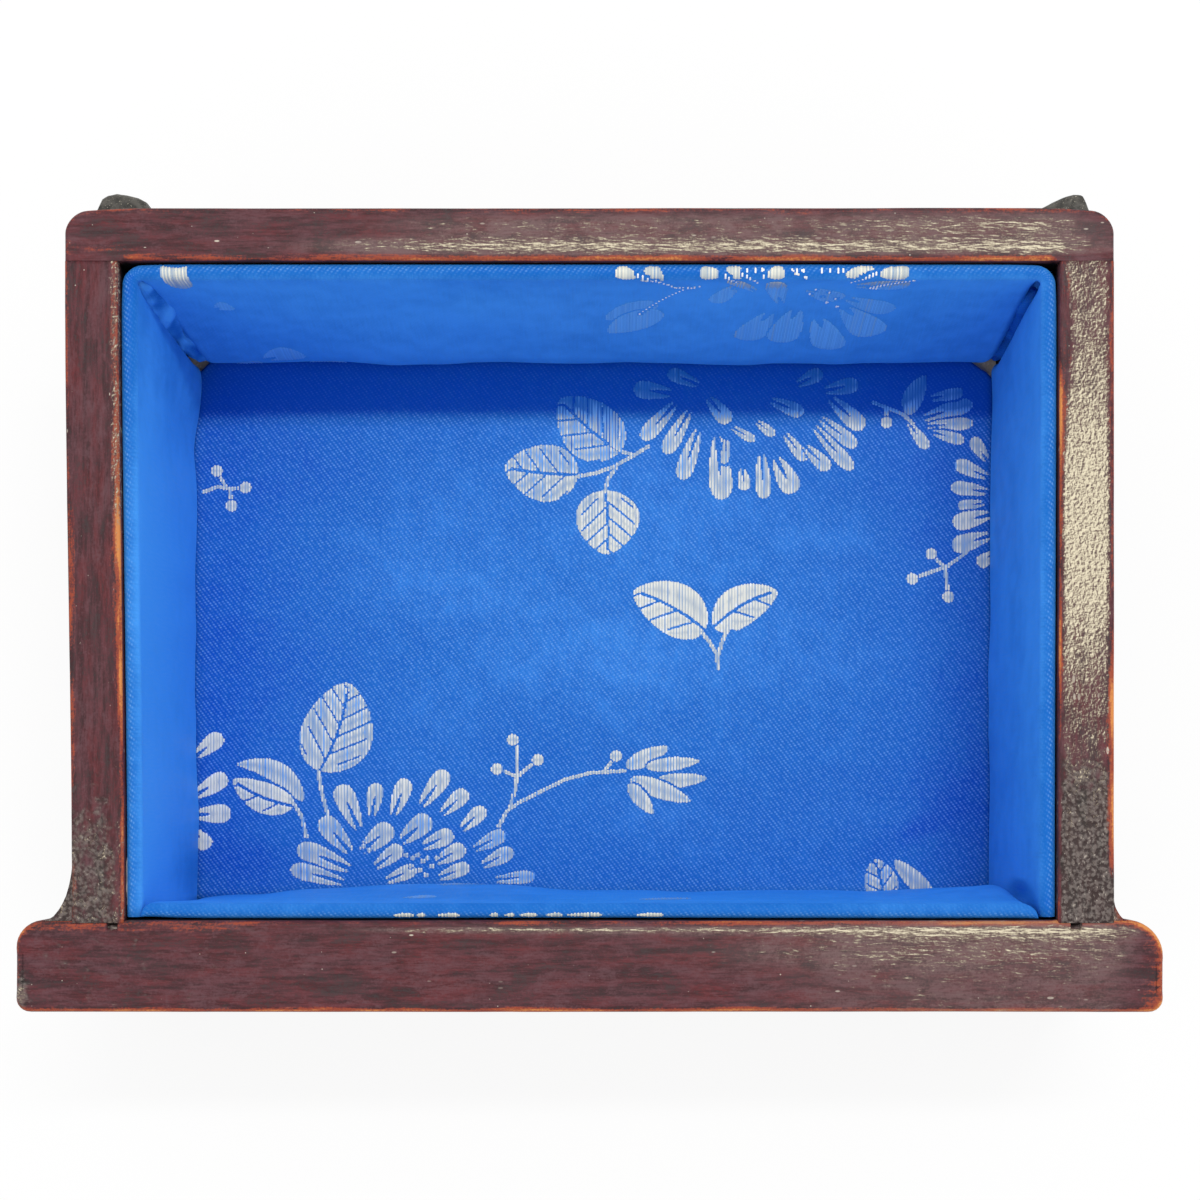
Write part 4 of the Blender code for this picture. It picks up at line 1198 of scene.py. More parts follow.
points, faces = band.reshape(-1, 3), quads.tolist() + ends
side_shade = side_shade - left_wall_dark_patch - crease_shade - front_fold_shadow
fields = [cloth.reshape(-1, 3), (0.16 + 0.84 * selvedge).ravel(), side_shade.ravel()]


def tuck_tube(top_pixel, drop, foot_pixel, rise_up, half, hand, seed):
    """A fold of spare silk down a corner: a bent line from top to foot, an oval of wavy size about it."""
    top, foot = (np.append(photo_point(pixel, level), level) for pixel, level in (
        (top_pixel, lining_top - drop), (foot_pixel, lining_foot + rise_up)))
    share = np.linspace(0.0, 1.0, TUCK_STATIONS)[:, None]
    turn = np.linspace(0.0, 2 * np.pi, TUCK_ROUND, endpoint=False)
    spine = top + (foot - top) * share + 0.0004 * np.sin(7.5 * share + 0.5) * np.array([hand, 1.0, 0.0])
    full = half * np.sqrt(np.clip(1 - (2 * share - 1) ** 6, 0, 1)) * (1 - 0.40 * hill(share, 0.62, 0.07))
    mark = spread(share * 0.04, np.cos(turn) * 0.002, np.sin(turn) * 0.002)
    wrinkle = 0.22 * soft_noise(mark, 0.0045, seed)
    wrinkle += 0.14 * soft_noise(mark * (1.0, 2.0, 2.0), 0.0020, seed + 5)
    full = full * (1 + wrinkle)
    along_wall, out = np.array([0.707 * hand, 0.707, 0.0]), np.array([0.707 * hand, -0.707, 0.0])
    oval = np.cos(turn)[:, None] * along_wall + np.sin(turn)[:, None] * out * 0.8
    tube = spine[:, None] + full[..., None] * oval
    quads = grid_faces(TUCK_STATIONS, TUCK_ROUND, loop_columns=True)
    ends = tube_ends(TUCK_STATIONS, TUCK_ROUND)
    if hand < 0:
        quads, ends = quads[:, ::-1], [end[::-1] for end in ends]
    cloth = spread(turn * half, share * 0.05, 0.0)
    return tube.reshape(-1, 3), quads.tolist() + ends, cloth.reshape(-1, 3), wrinkle.ravel()


for tuck, hand, seed in ((LEFT_TUCK, 1.0, 97), (RIGHT_TUCK, -1.0, 98)):
    tube, tube_faces, tube_cloth, wrinkle = tuck_tube(*tuck[:5], hand, seed)
    faces += [[corner + len(points) for corner in face] for face in tube_faces]
    points = np.concatenate([points, tube])
    # The tucks' painted shade, with their wrinkles as painted light and shade.
    fields = [np.concatenate([old, new]) for old, new in zip(fields, (
        tube_cloth, np.full(len(tube), 0.16), tuck[5] + (1.1 if hand > 0 else 0.3) * wrinkle))]

nodes = [kind + "_" + side for kind in ("silk", "wadding") for side in ("left", "back", "right")]
wall_silk = put_piece("silk_wall_band", points, faces, silk, "brocade", *nodes,
                      **dict(zip(("cloth", "dots", "shade"), fields)))


# Front wall lining. A padded strip of the same silk on its own card, fitted between the two side bands.
# It is tucked in thin at its left end and stands out full at its right end, where it turns into the corner.

FRONT_FOOT_SEEN = np.array((
    (160, 907), (198, 900), (226, 896), (262, 896), (292, 890), (333, 888), (395, 885), (500, 883),
    (535, 886), (570, 890), (646, 890), (689, 893), (723, 891), (839, 890), (870, 893), (901, 890),
    (940, 888), (995, 886)))
FRONT_FOOT_SOFTENED = 0.0030
FRONT_GAP = 0.0001
FRONT_RIGHT_BULGE = 0.0016
FRONT_CURL_LENGTH = 0.0034
FRONT_END_GAP = 0.0003
FRONT_COLUMNS, FRONT_SHIFTS = 100, 9
FULLEST_FALL = 0.90
FRONT_SELVEDGE = 0.28, 0.10

left_end = -side_inner + LINING_EDGE + FRONT_END_GAP
right_end = side_inner - LINING_EDGE - FRONT_END_GAP
half = crowded((right_end - left_end) / 2, FRONT_COLUMNS)
x = np.concatenate([left_end + half, right_end - half[:-1][::-1]])
from_left, from_right = x - left_end, right_end - x
gap = FRONT_GAP + 0.0003 * hill(from_left, 0.0, 0.006) + 0.0001 * hill(x, 0.0, 0.03)
mark = spread(x, fall * 0.045, 0.3)
ripple = 0.00016 * soft_noise(mark, 0.018, 95) + 0.00012 * soft_noise(mark * (1.0, 0.35, 1.0), 0.007, 96)


def foot_belly(x):
    """How far the pad's fullest line stands past its top edge: the line seen, averaged over a run of x."""
    seen = photo_point(FRONT_FOOT_SEEN, lining_top - FULLEST_FALL * (lining_top - lining_foot))
    stands = (seen[:, 1] - front_inner - LINING_EDGE) / np.interp(FULLEST_FALL, fall[:, 0], lean[:, 0])
    shifts = np.linspace(-FRONT_FOOT_SOFTENED, FRONT_FOOT_SOFTENED, FRONT_SHIFTS)
    return np.mean([np.interp(x + shift, seen[:, 0], stands) for shift in shifts], axis=0)


thick = LINING_EDGE + lean * foot_belly(x) + ripple * np.sqrt(np.clip(fall * 4, 0, 1))
thick = thick + FRONT_RIGHT_BULGE * hill(fall, 0.48, 0.24) * hill(from_right, 0.002, 0.012)
end_full = np.sqrt(np.clip(1 - (1 - np.clip(from_left / 0.0016, 0, 1)) ** 2, 0, 1))
curl = np.sqrt(np.clip(1 - (1 - np.clip(from_right / FRONT_CURL_LENGTH, 0, 1)) ** 2, 0, 1))
thick = gap + (thick - gap) * (0.12 + 0.88 * end_full) * (0.15 + 0.85 * curl)
offsets, levels, down = lining_section(gap, thick)
front_band = spread(x, front_inner + offsets, levels)
rows, columns = front_band.shape[:2]
quads = grid_faces(rows, columns, loop_rows=True)
number = numbered(rows, columns)
ends = [number[:, 0].tolist(), number[::-1, -1].tolist()]
crest, selvedge = (round_roll(*place) + 0 * offsets for place in (WALL_CREST, FRONT_SELVEDGE))
cloth = spread(x, down[:, None], 0.0)
# The front pad is painted lighter, and darker along its roll's crest: painted light and shade.
front_silk = put_piece(
    "silk_front_pad", front_band, quads.tolist() + ends, silk, "brocade", "silk_front", "wadding_front",
    cloth=cloth.reshape(-1, 3), dots=(0.16 + 0.84 * selvedge).ravel(), shade=(0.15 - 0.12 * crest).ravel())


# Woven figures of the floor. Chrysanthemums, leaves and berry sprigs in silvery floss, as on common brocade.
# A figure is not printed: floss threads lie upright on the satin, each as long as the figure is there.

FLOSS_PITCH = 0.00029
FLOSS_WIDTH = 0.00031
# Sunk threads are painted darker, as shade between their neighbours.
SUNK_THREAD_SHADE = 0.24
FLOSS_PROUD = 0.00010
LOOM_STEP = 0.00010
GROUND_LINE = 0.00042
STEM_HALF, STEM_TONE = 0.00036, 0.70
BERRY_RADIUS, BERRY_TONE = 0.00115, 0.80
BEAD_LENGTH = 0.00026
FLOSS_CLEAR = 0.00003
RIB_HALF, VEIN_HALF = 0.00028, 0.00024
RAGGED_END = 0.00016
FLOSS_BLUE = (0.130, 0.375, 0.830, 1.0)
FLOSS_GREY = (0.270, 0.400, 0.590, 1.0)
FLOSS_SILVER = (0.510, 0.560, 0.570, 1.0)
FLOSS_CREAM = (0.840, 0.820, 0.700, 1.0)
# White for painted glints on the floss.
FLOSS_GLINT_WHITE = (0.930, 0.950, 0.960, 1.0)


class Loom:
    """A grid of thread columns and weft rows; figures are laid into it one over another."""

    def __init__(self, low, high):
        self.x = np.arange(low[0], high[0], FLOSS_PITCH)
        self.y = np.arange(low[1], high[1], LOOM_STEP)
        self.place = np.stack(np.meshgrid(self.x, self.y, indexing="ij"), -1)
        self.figure = np.zeros(self.place.shape[:2], bool)
        self.tone = np.zeros(self.place.shape[:2])

    def lay(self, inside, beyond, tone):
        """Adds a shape in a tone, and clears the ground line just beyond it from what lies under it."""
        self.figure = (self.figure & ~beyond) | inside
        self.tone = np.where(inside, tone, self.tone)

    def axes(self, base, tip):
        """Every place as a share of the way from base to tip, and as a distance to the left of that line."""
        base, tip = np.asarray(base), np.asarray(tip)
        length = np.linalg.norm(tip - base)
        ahead = (tip - base) / length
        offset = self.place - base
        return offset @ ahead / length, offset @ np.array([-ahead[1], ahead[0]]), length

    def petal(self, base, tip, width, tone, slit):
        """A spoon: half width w u^0.45 sqrt(1 - u^6) up to its tip, split from its base by a closing slit."""
        share, aside, length = self.axes(base, tip)

        def spoon(grow):
            u = np.clip(share / (1 + grow / length), 0.0, 1.0)
            half = (width / 2) * 1.08 * np.power(u, 0.45) * np.sqrt(1 - u ** 6) + grow
            return (share > 0) & (share < 1 + grow / length) & (np.abs(aside) < half)
        open_part = np.abs(aside) < 0.11 * width * np.clip(1 - share / slit, 0, 1) ** 0.4 * (share < slit)
        self.lay(spoon(0.0) & ~open_part, spoon(GROUND_LINE), tone)

    def leaf(self, base, tip, width, sway, tone, veins, veined=0, tilt=0.0):
        """A leaf: half width w sin(pi u^0.8)^0.6 about a swayed midrib, ground lines for midrib and veins.

        veined is 0 for veins on both sides, 1 or -1 for the left or right side only.
        The left half is brighter by tilt.
        """
        share, aside, length = self.axes(base, tip)
        aside = aside - sway * 4 * share * (1 - share)

        def blade(grow):
            u = np.clip(share, 0.0, 1.0)
            half = (width / 2) * np.sin(np.pi * u ** 0.8) ** 0.6 + grow * (u > 0) * (u < 1)
            return (share > 0) & (share < 1) & (np.abs(aside) < half)
        rib = (np.abs(aside) < RIB_HALF) & (share < 0.92) & (veins > 0)
        slant = (share * length - np.abs(aside) * 0.9) / length * (veins + 1) + 0.35 * (aside > 0)
        vein = np.abs(slant - np.round(slant)) < VEIN_HALF * (veins + 1) / length
        vein &= (np.abs(aside) < 0.42 * width) & (share > 0.12) & (aside * veined >= 0) & (veins > 0)
        self.lay(blade(0.0) & ~rib & ~vein, blade(GROUND_LINE), tone - tilt * np.sign(-aside))

    def stem(self, *stops):
        """A thin line through its stops: the places within half its width of any of its straight lengths."""
        near = np.full(self.figure.shape, np.inf)
        for start, end in zip(stops[:-1], stops[1:]):
            share, aside, length = self.axes(start, end)
            past = (share - np.clip(share, 0, 1)) * length
            near = np.minimum(near, np.hypot(aside, past))
        self.lay(near < STEM_HALF, near < 0, STEM_TONE)

    def berry(self, middle, radius, tone):
        """A round spot."""
        gap = np.linalg.norm(self.place - np.asarray(middle), axis=-1)
        self.lay(gap < radius, gap < radius + GROUND_LINE / 2, tone)

    def threads(self):
        """The floss threads, each an unbroken run of figure rows in a column: x, start, end, tone and sunk.

        Every other thread is sunk between its neighbours.
        """
        edge = np.diff(np.pad(self.figure, ((0, 0), (1, 1))).astype(np.int8), axis=1)
        column, start = np.nonzero(edge == 1)
        end = np.nonzero(edge == -1)[1]
        kept = end - start > 2
        column, start, end = column[kept], start[kept], end[kept]
        tone = self.tone[column, (start + end) // 2]
        return self.x[column], self.y[start], self.y[end - 1], tone, column % 2


LAID_FLAT = np.array([0.5])
ROLLED_OVER = np.linspace(0.08, 0.92, 11)


def floss_ribbons(x, start, end, sunk, middle, seed):
    """Crowned ribbons: across is -1, 0, 1 half widths, the crown 1 - 0.85 across^2, and both ends are beaded.

    middle gives the shares of a thread's length at which it has stations between its two beads.
    Returns the ribbons' x, y and lift off the silk, each (thread, station, across), and a share of painted
    glint at the ends.
    """
    chance = np.random.default_rng(seed)
    across = np.array([-1.0, 0.0, 1.0])
    start = start - chance.uniform(0.0, RAGGED_END, len(x)) * (1 - sunk)
    end = end + chance.uniform(0.0, RAGGED_END, len(x)) * (1 - sunk)
    bead = np.minimum(BEAD_LENGTH, (end - start) / 5)[:, None]
    near = bead * np.array([0.0, 0.8])
    between = (start[:, None] + bead) + (end - start - 2 * bead[:, 0])[:, None] * middle
    along = np.concatenate([start[:, None] + near, between, (end[:, None] - near)[:, ::-1]], 1)[..., None]

    def each_station(tip, bead_value, body):
        """One value for each station: at its tip, on its bead, along its body, and back to its other tip."""
        return np.concatenate([[tip, bead_value], np.full(len(middle), body), [bead_value, tip]])[:, None]

    shift = chance.normal(0, 0.00002, len(x))[:, None, None]
    high = FLOSS_PROUD * (1 + chance.normal(0, 0.12, len(x)) - 0.4 * sunk)[:, None, None]
    lift = high * each_station(0.20, 1.20, 1.0) * (1 - 0.85 * across ** 2)
    glint = each_station(1.0, 0.9, 0.0) * (chance.uniform(0.3, 1.2, len(x)) * (1 - 0.8 * sunk))[:, None, None]
    wide = x[:, None, None] + shift + across * each_station(0.50, 1.20, 1.0) * FLOSS_WIDTH / 2
    return np.broadcast_arrays(wide, along, lift, glint)


def floss_material(name, dull):
    """Floss going with its tone and painted light from the silk's blue through dull, grey and silver to
    cream, and to white for painted glints.
    """
    material, tree, shader = new_material(name)
    lustre = field_value(tree, "lustre")
    colour = blend(rise(lustre, 0.04, 0.26), SILK_BLUE, dull)
    for low, high, tint in ((0.24, 0.44, FLOSS_GREY), (0.46, 0.80, FLOSS_SILVER), (0.75, 1.10, FLOSS_CREAM),
                            (1.35, 1.60, FLOSS_GLINT_WHITE)):
        colour = blend(rise(lustre, low, high), colour, tint)
    hair = cloud(stretch(own_millimetres(tree), (1.0, 0.06, 1.0)), 9.0, 2.0)
    roughness = rise(hair, 0.3, 0.7, 0.34, 0.50)
    finish_shader(shader, colour, roughness, hair, 0.25, 0.0001, {"Specular IOR Level": 0.25})
    return material


def put_figure(name, material, threads, surface, seed, seen, middle, upward=True, end_glints=0.56, least=0.0):
    """A figure's threads as one piece; surface(x, y, lift) places them, seen(points) is the painted shade on
    them.

    A thread's ends are painted brighter, as glints, by the given weight, and least is the dullest that any of
    it gets.
    """
    x, start, end, tone, sunk = threads
    across, along, lift, glint = floss_ribbons(x, start, end, sunk, middle, seed)
    points = surface(across, along, lift).reshape(-1, 3)
    # Random tone, less painted shade on sunk threads.
    uneven = 0.09 * soft_noise(spread(x, (start + end) / 2, 0.0), 0.006, seed) - SUNK_THREAD_SHADE * sunk
    uneven += np.random.default_rng(seed + 50).normal(0, 0.10, len(x))
    # Plus painted glints at the ends, times the painted shade from seen.
    lustre = np.maximum(((tone + uneven)[:, None, None] + end_glints * glint).ravel() * seen(points), least)
    stations = len(middle) + 4
    quads = grid_faces(stations, 3) if upward else grid_faces(stations, 3)[:, ::-1]
    numbers = quads[None] + (np.arange(len(x)) * 3 * stations)[:, None, None]
    put_piece(name, points, numbers.reshape(-1, 4), material, "brocade", lustre=lustre)


def on_floor(pixel):
    """The place on the lined floor that a pixel shows."""
    return photo_point(pixel, floor_top)


FLOOR_PIXEL = RIM_PIXEL * (eye[2] - floor_top) / EYE_ABOVE_RIM
PETALS = {
    "upper flower, left": (
        0.66, ((677, 402), (642, 440), 18), ((690, 410), (665, 454), 18), ((699, 428), (681, 480), 19)),
    "upper flower, front": (
        0.72, ((717, 435), (722, 500), 25), ((742, 468), (745, 491), 14), ((761, 452), (764, 499), 17),
        ((775, 457), (794, 493), 23)),
    "upper flower, right": (
        0.70, ((783, 432), (805, 461), 13), ((803, 445), (829, 470), 16), ((812, 425), (852, 470), 16),
        ((818, 417), (856, 447), 16), ((828, 397), (863, 429), 20)),
    "upper flower, rear": (0.52, ((768, 400), (803, 414), 16), ((707, 397), (729, 423), 18)),
    "upper flower, in shade": (
        0.38, ((674, 394), (634, 389), 20), ((822, 392), (858, 384), 18), ((700, 386), (668, 372), 16),
        ((795, 386), (822, 372), 16)),
    "upper flower, heart": (
        0.64, ((730, 427), (755, 441), 10), ((755, 421), (774, 436), 11), ((727, 436), (724, 465), 9)),
    "lower flower, rear": (
        0.78, ((360, 831), (340, 785), 23), ((372, 818), (377, 783), 17), ((393, 817), (407, 779), 19),
        ((420, 808), (447, 771), 20), ((441, 815), (467, 791), 18), ((460, 831), (485, 808), 17)),
    "lower flower, right": (
        0.52, ((473, 850), (505, 833), 17), ((480, 867), (513, 850), 17), ((492, 880), (535, 876), 14)),
    "lower flower, left": (
        0.68, ((353, 870), (298, 847), 23), ((346, 883), (291, 868), 19), ((352, 854), (322, 818), 23)),
    "lower flower, inner": (
        0.66, ((360, 853), (392, 826), 23), ((400, 843), (430, 817), 23), ((421, 848), (453, 833), 19),
        ((374, 868), (402, 847), 18), ((434, 863), (465, 847), 18), ((384, 882), (416, 868), 16),
        ((436, 879), (469, 866), 16)),
    "left edge flower": (
        0.95, ((195, 757), (222, 735), 19), ((193, 797), (227, 776), 20), ((193, 815), (231, 813), 21),
        ((192, 829), (209, 848), 18)),
    "right edge flower": (
        0.74, ((990, 478), (955, 463), 16), ((990, 492), (951, 487), 16), ((986, 503), (958, 506), 12),
        ((992, 514), (953, 524), 20), ((992, 535), (952, 547), 20), ((995, 552), (978, 565), 15),
        ((988, 462), (972, 438), 15)),
    "right bud": (
        0.60, ((908, 423), (927, 449), 13), ((920, 420), (972, 403), 18), ((923, 427), (973, 423), 14),
        ((930, 432), (964, 441), 13), ((927, 400), (963, 392), 13)),
}
PETAL_FULLER, PETAL_VARIES = 1.06, 0.05
BUD_LEAVES = (
    ((626, 767), (669, 747), 17), ((646, 767), (699, 761), 14), ((652, 783), (707, 778), 15),
    ((631, 779), (690, 801), 18), ((629, 784), (653, 814), 15),
)
BUD_TONE = 0.70
LEAVES = {
    "round, by the upper flower": ((620, 452), (560, 400), 0.0118, 0.0006, 0.50, 3, 0, 0.04),
    "pointed, by the upper flower": ((578, 475), (505, 468), 0.0114, 0.0004, 0.60, 3, 0, 0.07),
    "hanging, by the upper flower": ((605, 491), (607, 555), 0.0126, 0.0004, 0.84, 3, 0, 0.0),
    "left of the pair": ((705, 630), (634, 591), 0.0104, -0.0008, 0.93, 3, 1, 0.0),
    "right of the pair": ((714, 627), (777, 591), 0.0080, 0.0010, 0.93, 2, -1, 0.0),
    "upright, by the lower flower": ((320, 771), (349, 683), 0.0142, -0.0010, 0.68, 4, 0, 0.03),
    "curled, its upper half": ((304, 800), (237, 764), 0.0042, -0.0024, 0.60, 0, 0, 0.0),
    "curled, its lower half": ((294, 806), (233, 780), 0.0062, 0.0008, 0.90, 2, 1, 0.0),
    "left, by the front": ((886, 902), (875, 859), 0.0066, 0.0, 0.62, 2, 0, 0.0),
    "right, by the front": ((932, 897), (894, 860), 0.0036, 0.0, 0.66, 0, 0, 0.0),
    "by the right bud": ((907, 415), (925, 376), 0.0040, 0.0004, 0.50, 0, 0, 0.0),
}
STEMS = {
    "of the round leaf": ((610, 444), (622, 452), (632, 455)),
    "of the pointed leaf": ((578, 477), (598, 473), (614, 467), (632, 457), (648, 447)),
    "of the hanging leaf": ((616, 468), (608, 480), (605, 492)),
    "left of the pair": ((700, 630), (710, 643), (717, 655), (718, 669)),
    "right of the pair": ((728, 628), (722, 642), (718, 656)),
    "of the upright leaf": ((319, 772), (322, 792), (328, 814)),
    "of the curled leaf": ((292, 800), (302, 816), (307, 837)),
    "long": ((499, 826), (507, 811), (520, 802), (536, 794), (564, 780), (589, 773), (624, 771)),
    "of the sprig": ((510, 808), (515, 790), (517, 777), (517, 746)),
    "sprig left": ((517, 777), (499, 769)),
    "sprig right": ((517, 777), (536, 761)),
    "to the long stem's berry": ((604, 772), (614, 758)),
    "of the right berries": ((966, 553), (946, 567), (914, 578)),
    "right berry up": ((944, 567), (932, 556)),
    "right berry down": ((945, 570), (948, 596)),
    "of the right bud": ((873, 403), (888, 409), (903, 415), (912, 424)),
    "to the right bud's berry": ((886, 409), (886, 420)),
    "of the left sprig": ((203, 492), (218, 487), (232, 489), (245, 488)),
    "left sprig up": ((226, 487), (218, 473)),
    "left sprig down": ((230, 489), (232, 504)),
}
BERRIES = {
    "sprig top": (513, 740), "sprig left": (497, 769), "sprig right": (538, 760), "long stem": (616, 756),
    "right up": (931, 554), "right far": (912, 579), "right down": (948, 597),
    "left far": (246, 488), "left up": (217, 471), "left down": (232, 506), "right bud": (886, 423),
}
HEART_DOTS = (
    (406, 855), (413, 858), (418, 855), (423, 861), (428, 858), (432, 866), (420, 870), (411, 866),
    (426, 875), (437, 858), (364, 846), (369, 850),
)
HEART_DOT_RADIUS, HEART_DOT_TONE = 0.0005, 0.62
FLOWER_SLIT, EDGE_SLIT = 0.62, 0.46
LOOM_INSET = 0.0016
WALL_SHADOW, SHADOW_DULLS = (0.0385, 0.0425), 0.86

floor_loom = Loom(floor_low[:2] + LOOM_INSET, floor_high[:2] - LOOM_INSET)
chance = np.random.default_rng(9)
for part, (tone, *petals) in PETALS.items():
    slit = FLOWER_SLIT if part.startswith(("upper", "lower")) else EDGE_SLIT
    for base, tip, width in petals:
        floor_loom.petal(on_floor(base), on_floor(tip), width * PETAL_FULLER * FLOOR_PIXEL,
                         tone + chance.normal(0, PETAL_VARIES), slit)
for base, tip, *shape in LEAVES.values():
    floor_loom.leaf(on_floor(base), on_floor(tip), *shape)
for base, tip, width in BUD_LEAVES:
    floor_loom.leaf(on_floor(base), on_floor(tip), width * FLOOR_PIXEL, 0.0, BUD_TONE, 0)
for middle in HEART_DOTS:
    floor_loom.berry(on_floor(middle), HEART_DOT_RADIUS, HEART_DOT_TONE)
for stops in STEMS.values():
    floor_loom.stem(*(on_floor(stop) for stop in stops))
for middle in BERRIES.values():
    floor_loom.berry(on_floor(middle), BERRY_RADIUS, BERRY_TONE)


def floor_thread(x, y, lift):
    """A place on the floor silk, lifted off it."""
    return spread(x, y, floor_height(x, y) + FLOSS_CLEAR + lift)


def seen_on_floor(points):
    """How bright floss on the floor shows: full, and dull in the back wall's shadow."""
    return 1 - SHADOW_DULLS * ramp(points[:, 1], *WALL_SHADOW)


put_figure(
    "woven_figures_floor", floss_material("silver_floss", FLOSS_BLUE), floor_loom.threads(), floor_thread,
    101, seen_on_floor, LAID_FLAT)


# Woven figures of the walls. The same floss on the back and front bands, where the figures are cut anywhere.
# On the face the floss is painted dull and blue as shade, and bright only where it turns over the top edge,
# as a painted highlight.

EDGE_PETALS = (
    ((637, 277), (616, 262), 0.0030), ((662, 281), (644, 259), 0.0050), ((722, 275), (700, 272), 0.0030),
    ((746, 275), (726, 262), 0.0034), ((767, 276), (784, 268), 0.0032), ((790, 270), (801, 262), 0.0020),
    ((846, 275), (874, 264), 0.0032), ((880, 275), (909, 267), 0.0036),
)
FACE_PETALS = (
    ((738, 286), (714, 303), 0.0042), ((757, 292), (729, 281), 0.0032), ((781, 306), (774, 282), 0.0044),
    ((808, 290), (839, 302), 0.0060), ((854, 287), (910, 285), 0.0064), ((770, 313), (744, 341), 0.0070),
    ((797, 311), (779, 343), 0.0070), ((818, 320), (832, 348), 0.0074), ((844, 309), (876, 335), 0.0080),
    ((846, 300), (892, 312), 0.0060), ((266, 361), (298, 352), 0.0080), ((236, 367), (262, 363), 0.0040),
    ((308, 366), (346, 363), 0.0044), ((216, 309), (230, 305), 0.0044),
)
BACK_LEAF_HALVES = ((656, 303), (606, 320), 0.0062), ((660, 312), (609, 333), 0.0072)
DOTTED_LINES = (
    ((699, 287), (686, 289)), ((686, 289), (666, 299)), ((666, 299), (640, 315)), ((638, 276), (652, 281)),
    ((656, 281), (676, 288)), ((676, 288), (688, 288)), ((722, 275), (736, 283)), ((743, 275), (758, 283)),
    ((851, 283), (877, 274)), ((870, 289), (914, 281)),
)
LOOSE_DOTS = (
    (747, 267), (756, 265), (763, 269), (764, 277), (793, 268), (797, 264), (803, 271), (806, 278),
    (822, 266), (830, 265), (838, 267), (843, 270), (810, 296), (816, 291), (823, 299), (829, 294),
    (827, 305), (836, 301), (837, 309), (735, 290),
)
DOT_APART, DOT_HALF, DOT_WIDTH = 3.4, (0.0, 0.00048), 0.00046
# A lighter dull colour for floss on the walls: painted light.
WALL_BLUE_LIT = (0.130, 0.440, 0.945, 1.0)
CORNER_PATCH = (-0.0738, 0.0100), (-0.0722, -0.0068), 0.0054
FRONT_DASHES = (
    (393, 413), (416, 425), (437, 459), (490, 498), (505, 514), (519, 537), (546, 562), (567, 602),
    (636, 664))
FRONT_DASH_ROW = 915
FRONT_DASH_UP, FRONT_DASH_WIDTH = 0.0008, 0.0011
FRONT_PATCHES = (
    ((405, 899), (434, 897), 0.0050), ((437, 892), (483, 889), 0.0050), ((639, 900), (688, 897), 0.0050))
# The dots' tone is high enough to paint them as white glints.
EDGE_TONE, FACE_TONE, PATCH_TONE, DOT_GLINT_TONE = 0.96, 0.74, 1.00, 5.00
WALL_LEAST, WALL_END_GLINTS = 0.20, 0.10
UNSLIT, WALL_SLIT = 0.01, 0.30
BACK_CLOTH = (-0.0765, -0.0460), (0.0765, 0.0020)
FRONT_CLOTH = (-0.0600, -0.0460), (0.0600, 0.0022)
CORNER_COLUMNS = 8


def seen_on_wall(points):
    """How bright floss on a wall is painted: full on the rolled top edge as a highlight, a third of that a
    few mm down as shade.
    """
    return 1 - 0.66 * ramp(lining_top - points[:, 2], 0.0016, 0.0070)


def face_place(panel, down, at, x, y, lift):
    """A place on a panel's front: its grid read between rows by depth below the top and between columns by x.

    panel holds the rows from the top of the roll down, at each column's x; lift pushes it out of the face.
    """
    column = np.interp(x, at, np.arange(len(at)))
    row = np.interp(-y, down, np.arange(len(down)))
    left, above = np.minimum(column.astype(int), len(at) - 2), np.minimum(row.astype(int), len(down) - 2)
    u, v = (column - left)[..., None], (row - above)[..., None]
    corners = [panel[above + i, left + j] for i in (0, 1) for j in (0, 1)]
    place = (corners[0] * (1 - u) + corners[1] * u) * (1 - v) + (corners[2] * (1 - u) + corners[3] * u) * v
    across = np.cross(corners[1] - corners[0], corners[2] - corners[0])
    out = across / np.maximum(np.linalg.norm(across, axis=-1, keepdims=True), 1e-12)
    out *= np.sign(out[..., 2:3] + 1e-9 + out[..., 1:2] * np.sign(-place[..., 1:2]))
    return place + out * (lift[..., None] + FLOSS_CLEAR)


def wall_down(panel):
    """Depth below the crest of the roll for each row of a panel, measured along its middle column."""
    middle = panel[:, panel.shape[1] // 2]
    run = np.concatenate([[0.0], np.cumsum(np.linalg.norm(np.diff(middle, axis=0), axis=1))])
    return run - run[ROLL_STEPS // 2]


def on_wall(pixel, panel, down):
    """The x and the height above the crest of the place on a panel that a pixel shows."""
    _, y, z = panel[ROLL_STEPS // 2:, panel.shape[1] // 2].T
    shown = row_at_rim(eye[1] + (y - eye[1]) * EYE_ABOVE_RIM / (eye[2] - z))
    order = np.argsort(shown)
    level, depth = (
        np.interp(pixel[1], shown[order], values[order]) for values in (z, down[ROLL_STEPS // 2:]))
    return np.array([photo_point(pixel, level)[0], -depth])


def ends_on_wall(tail, tip, panel, down):
    """The places on a panel of a figure's two ends."""
    return on_wall(tail, panel, down), on_wall(tip, panel, down)


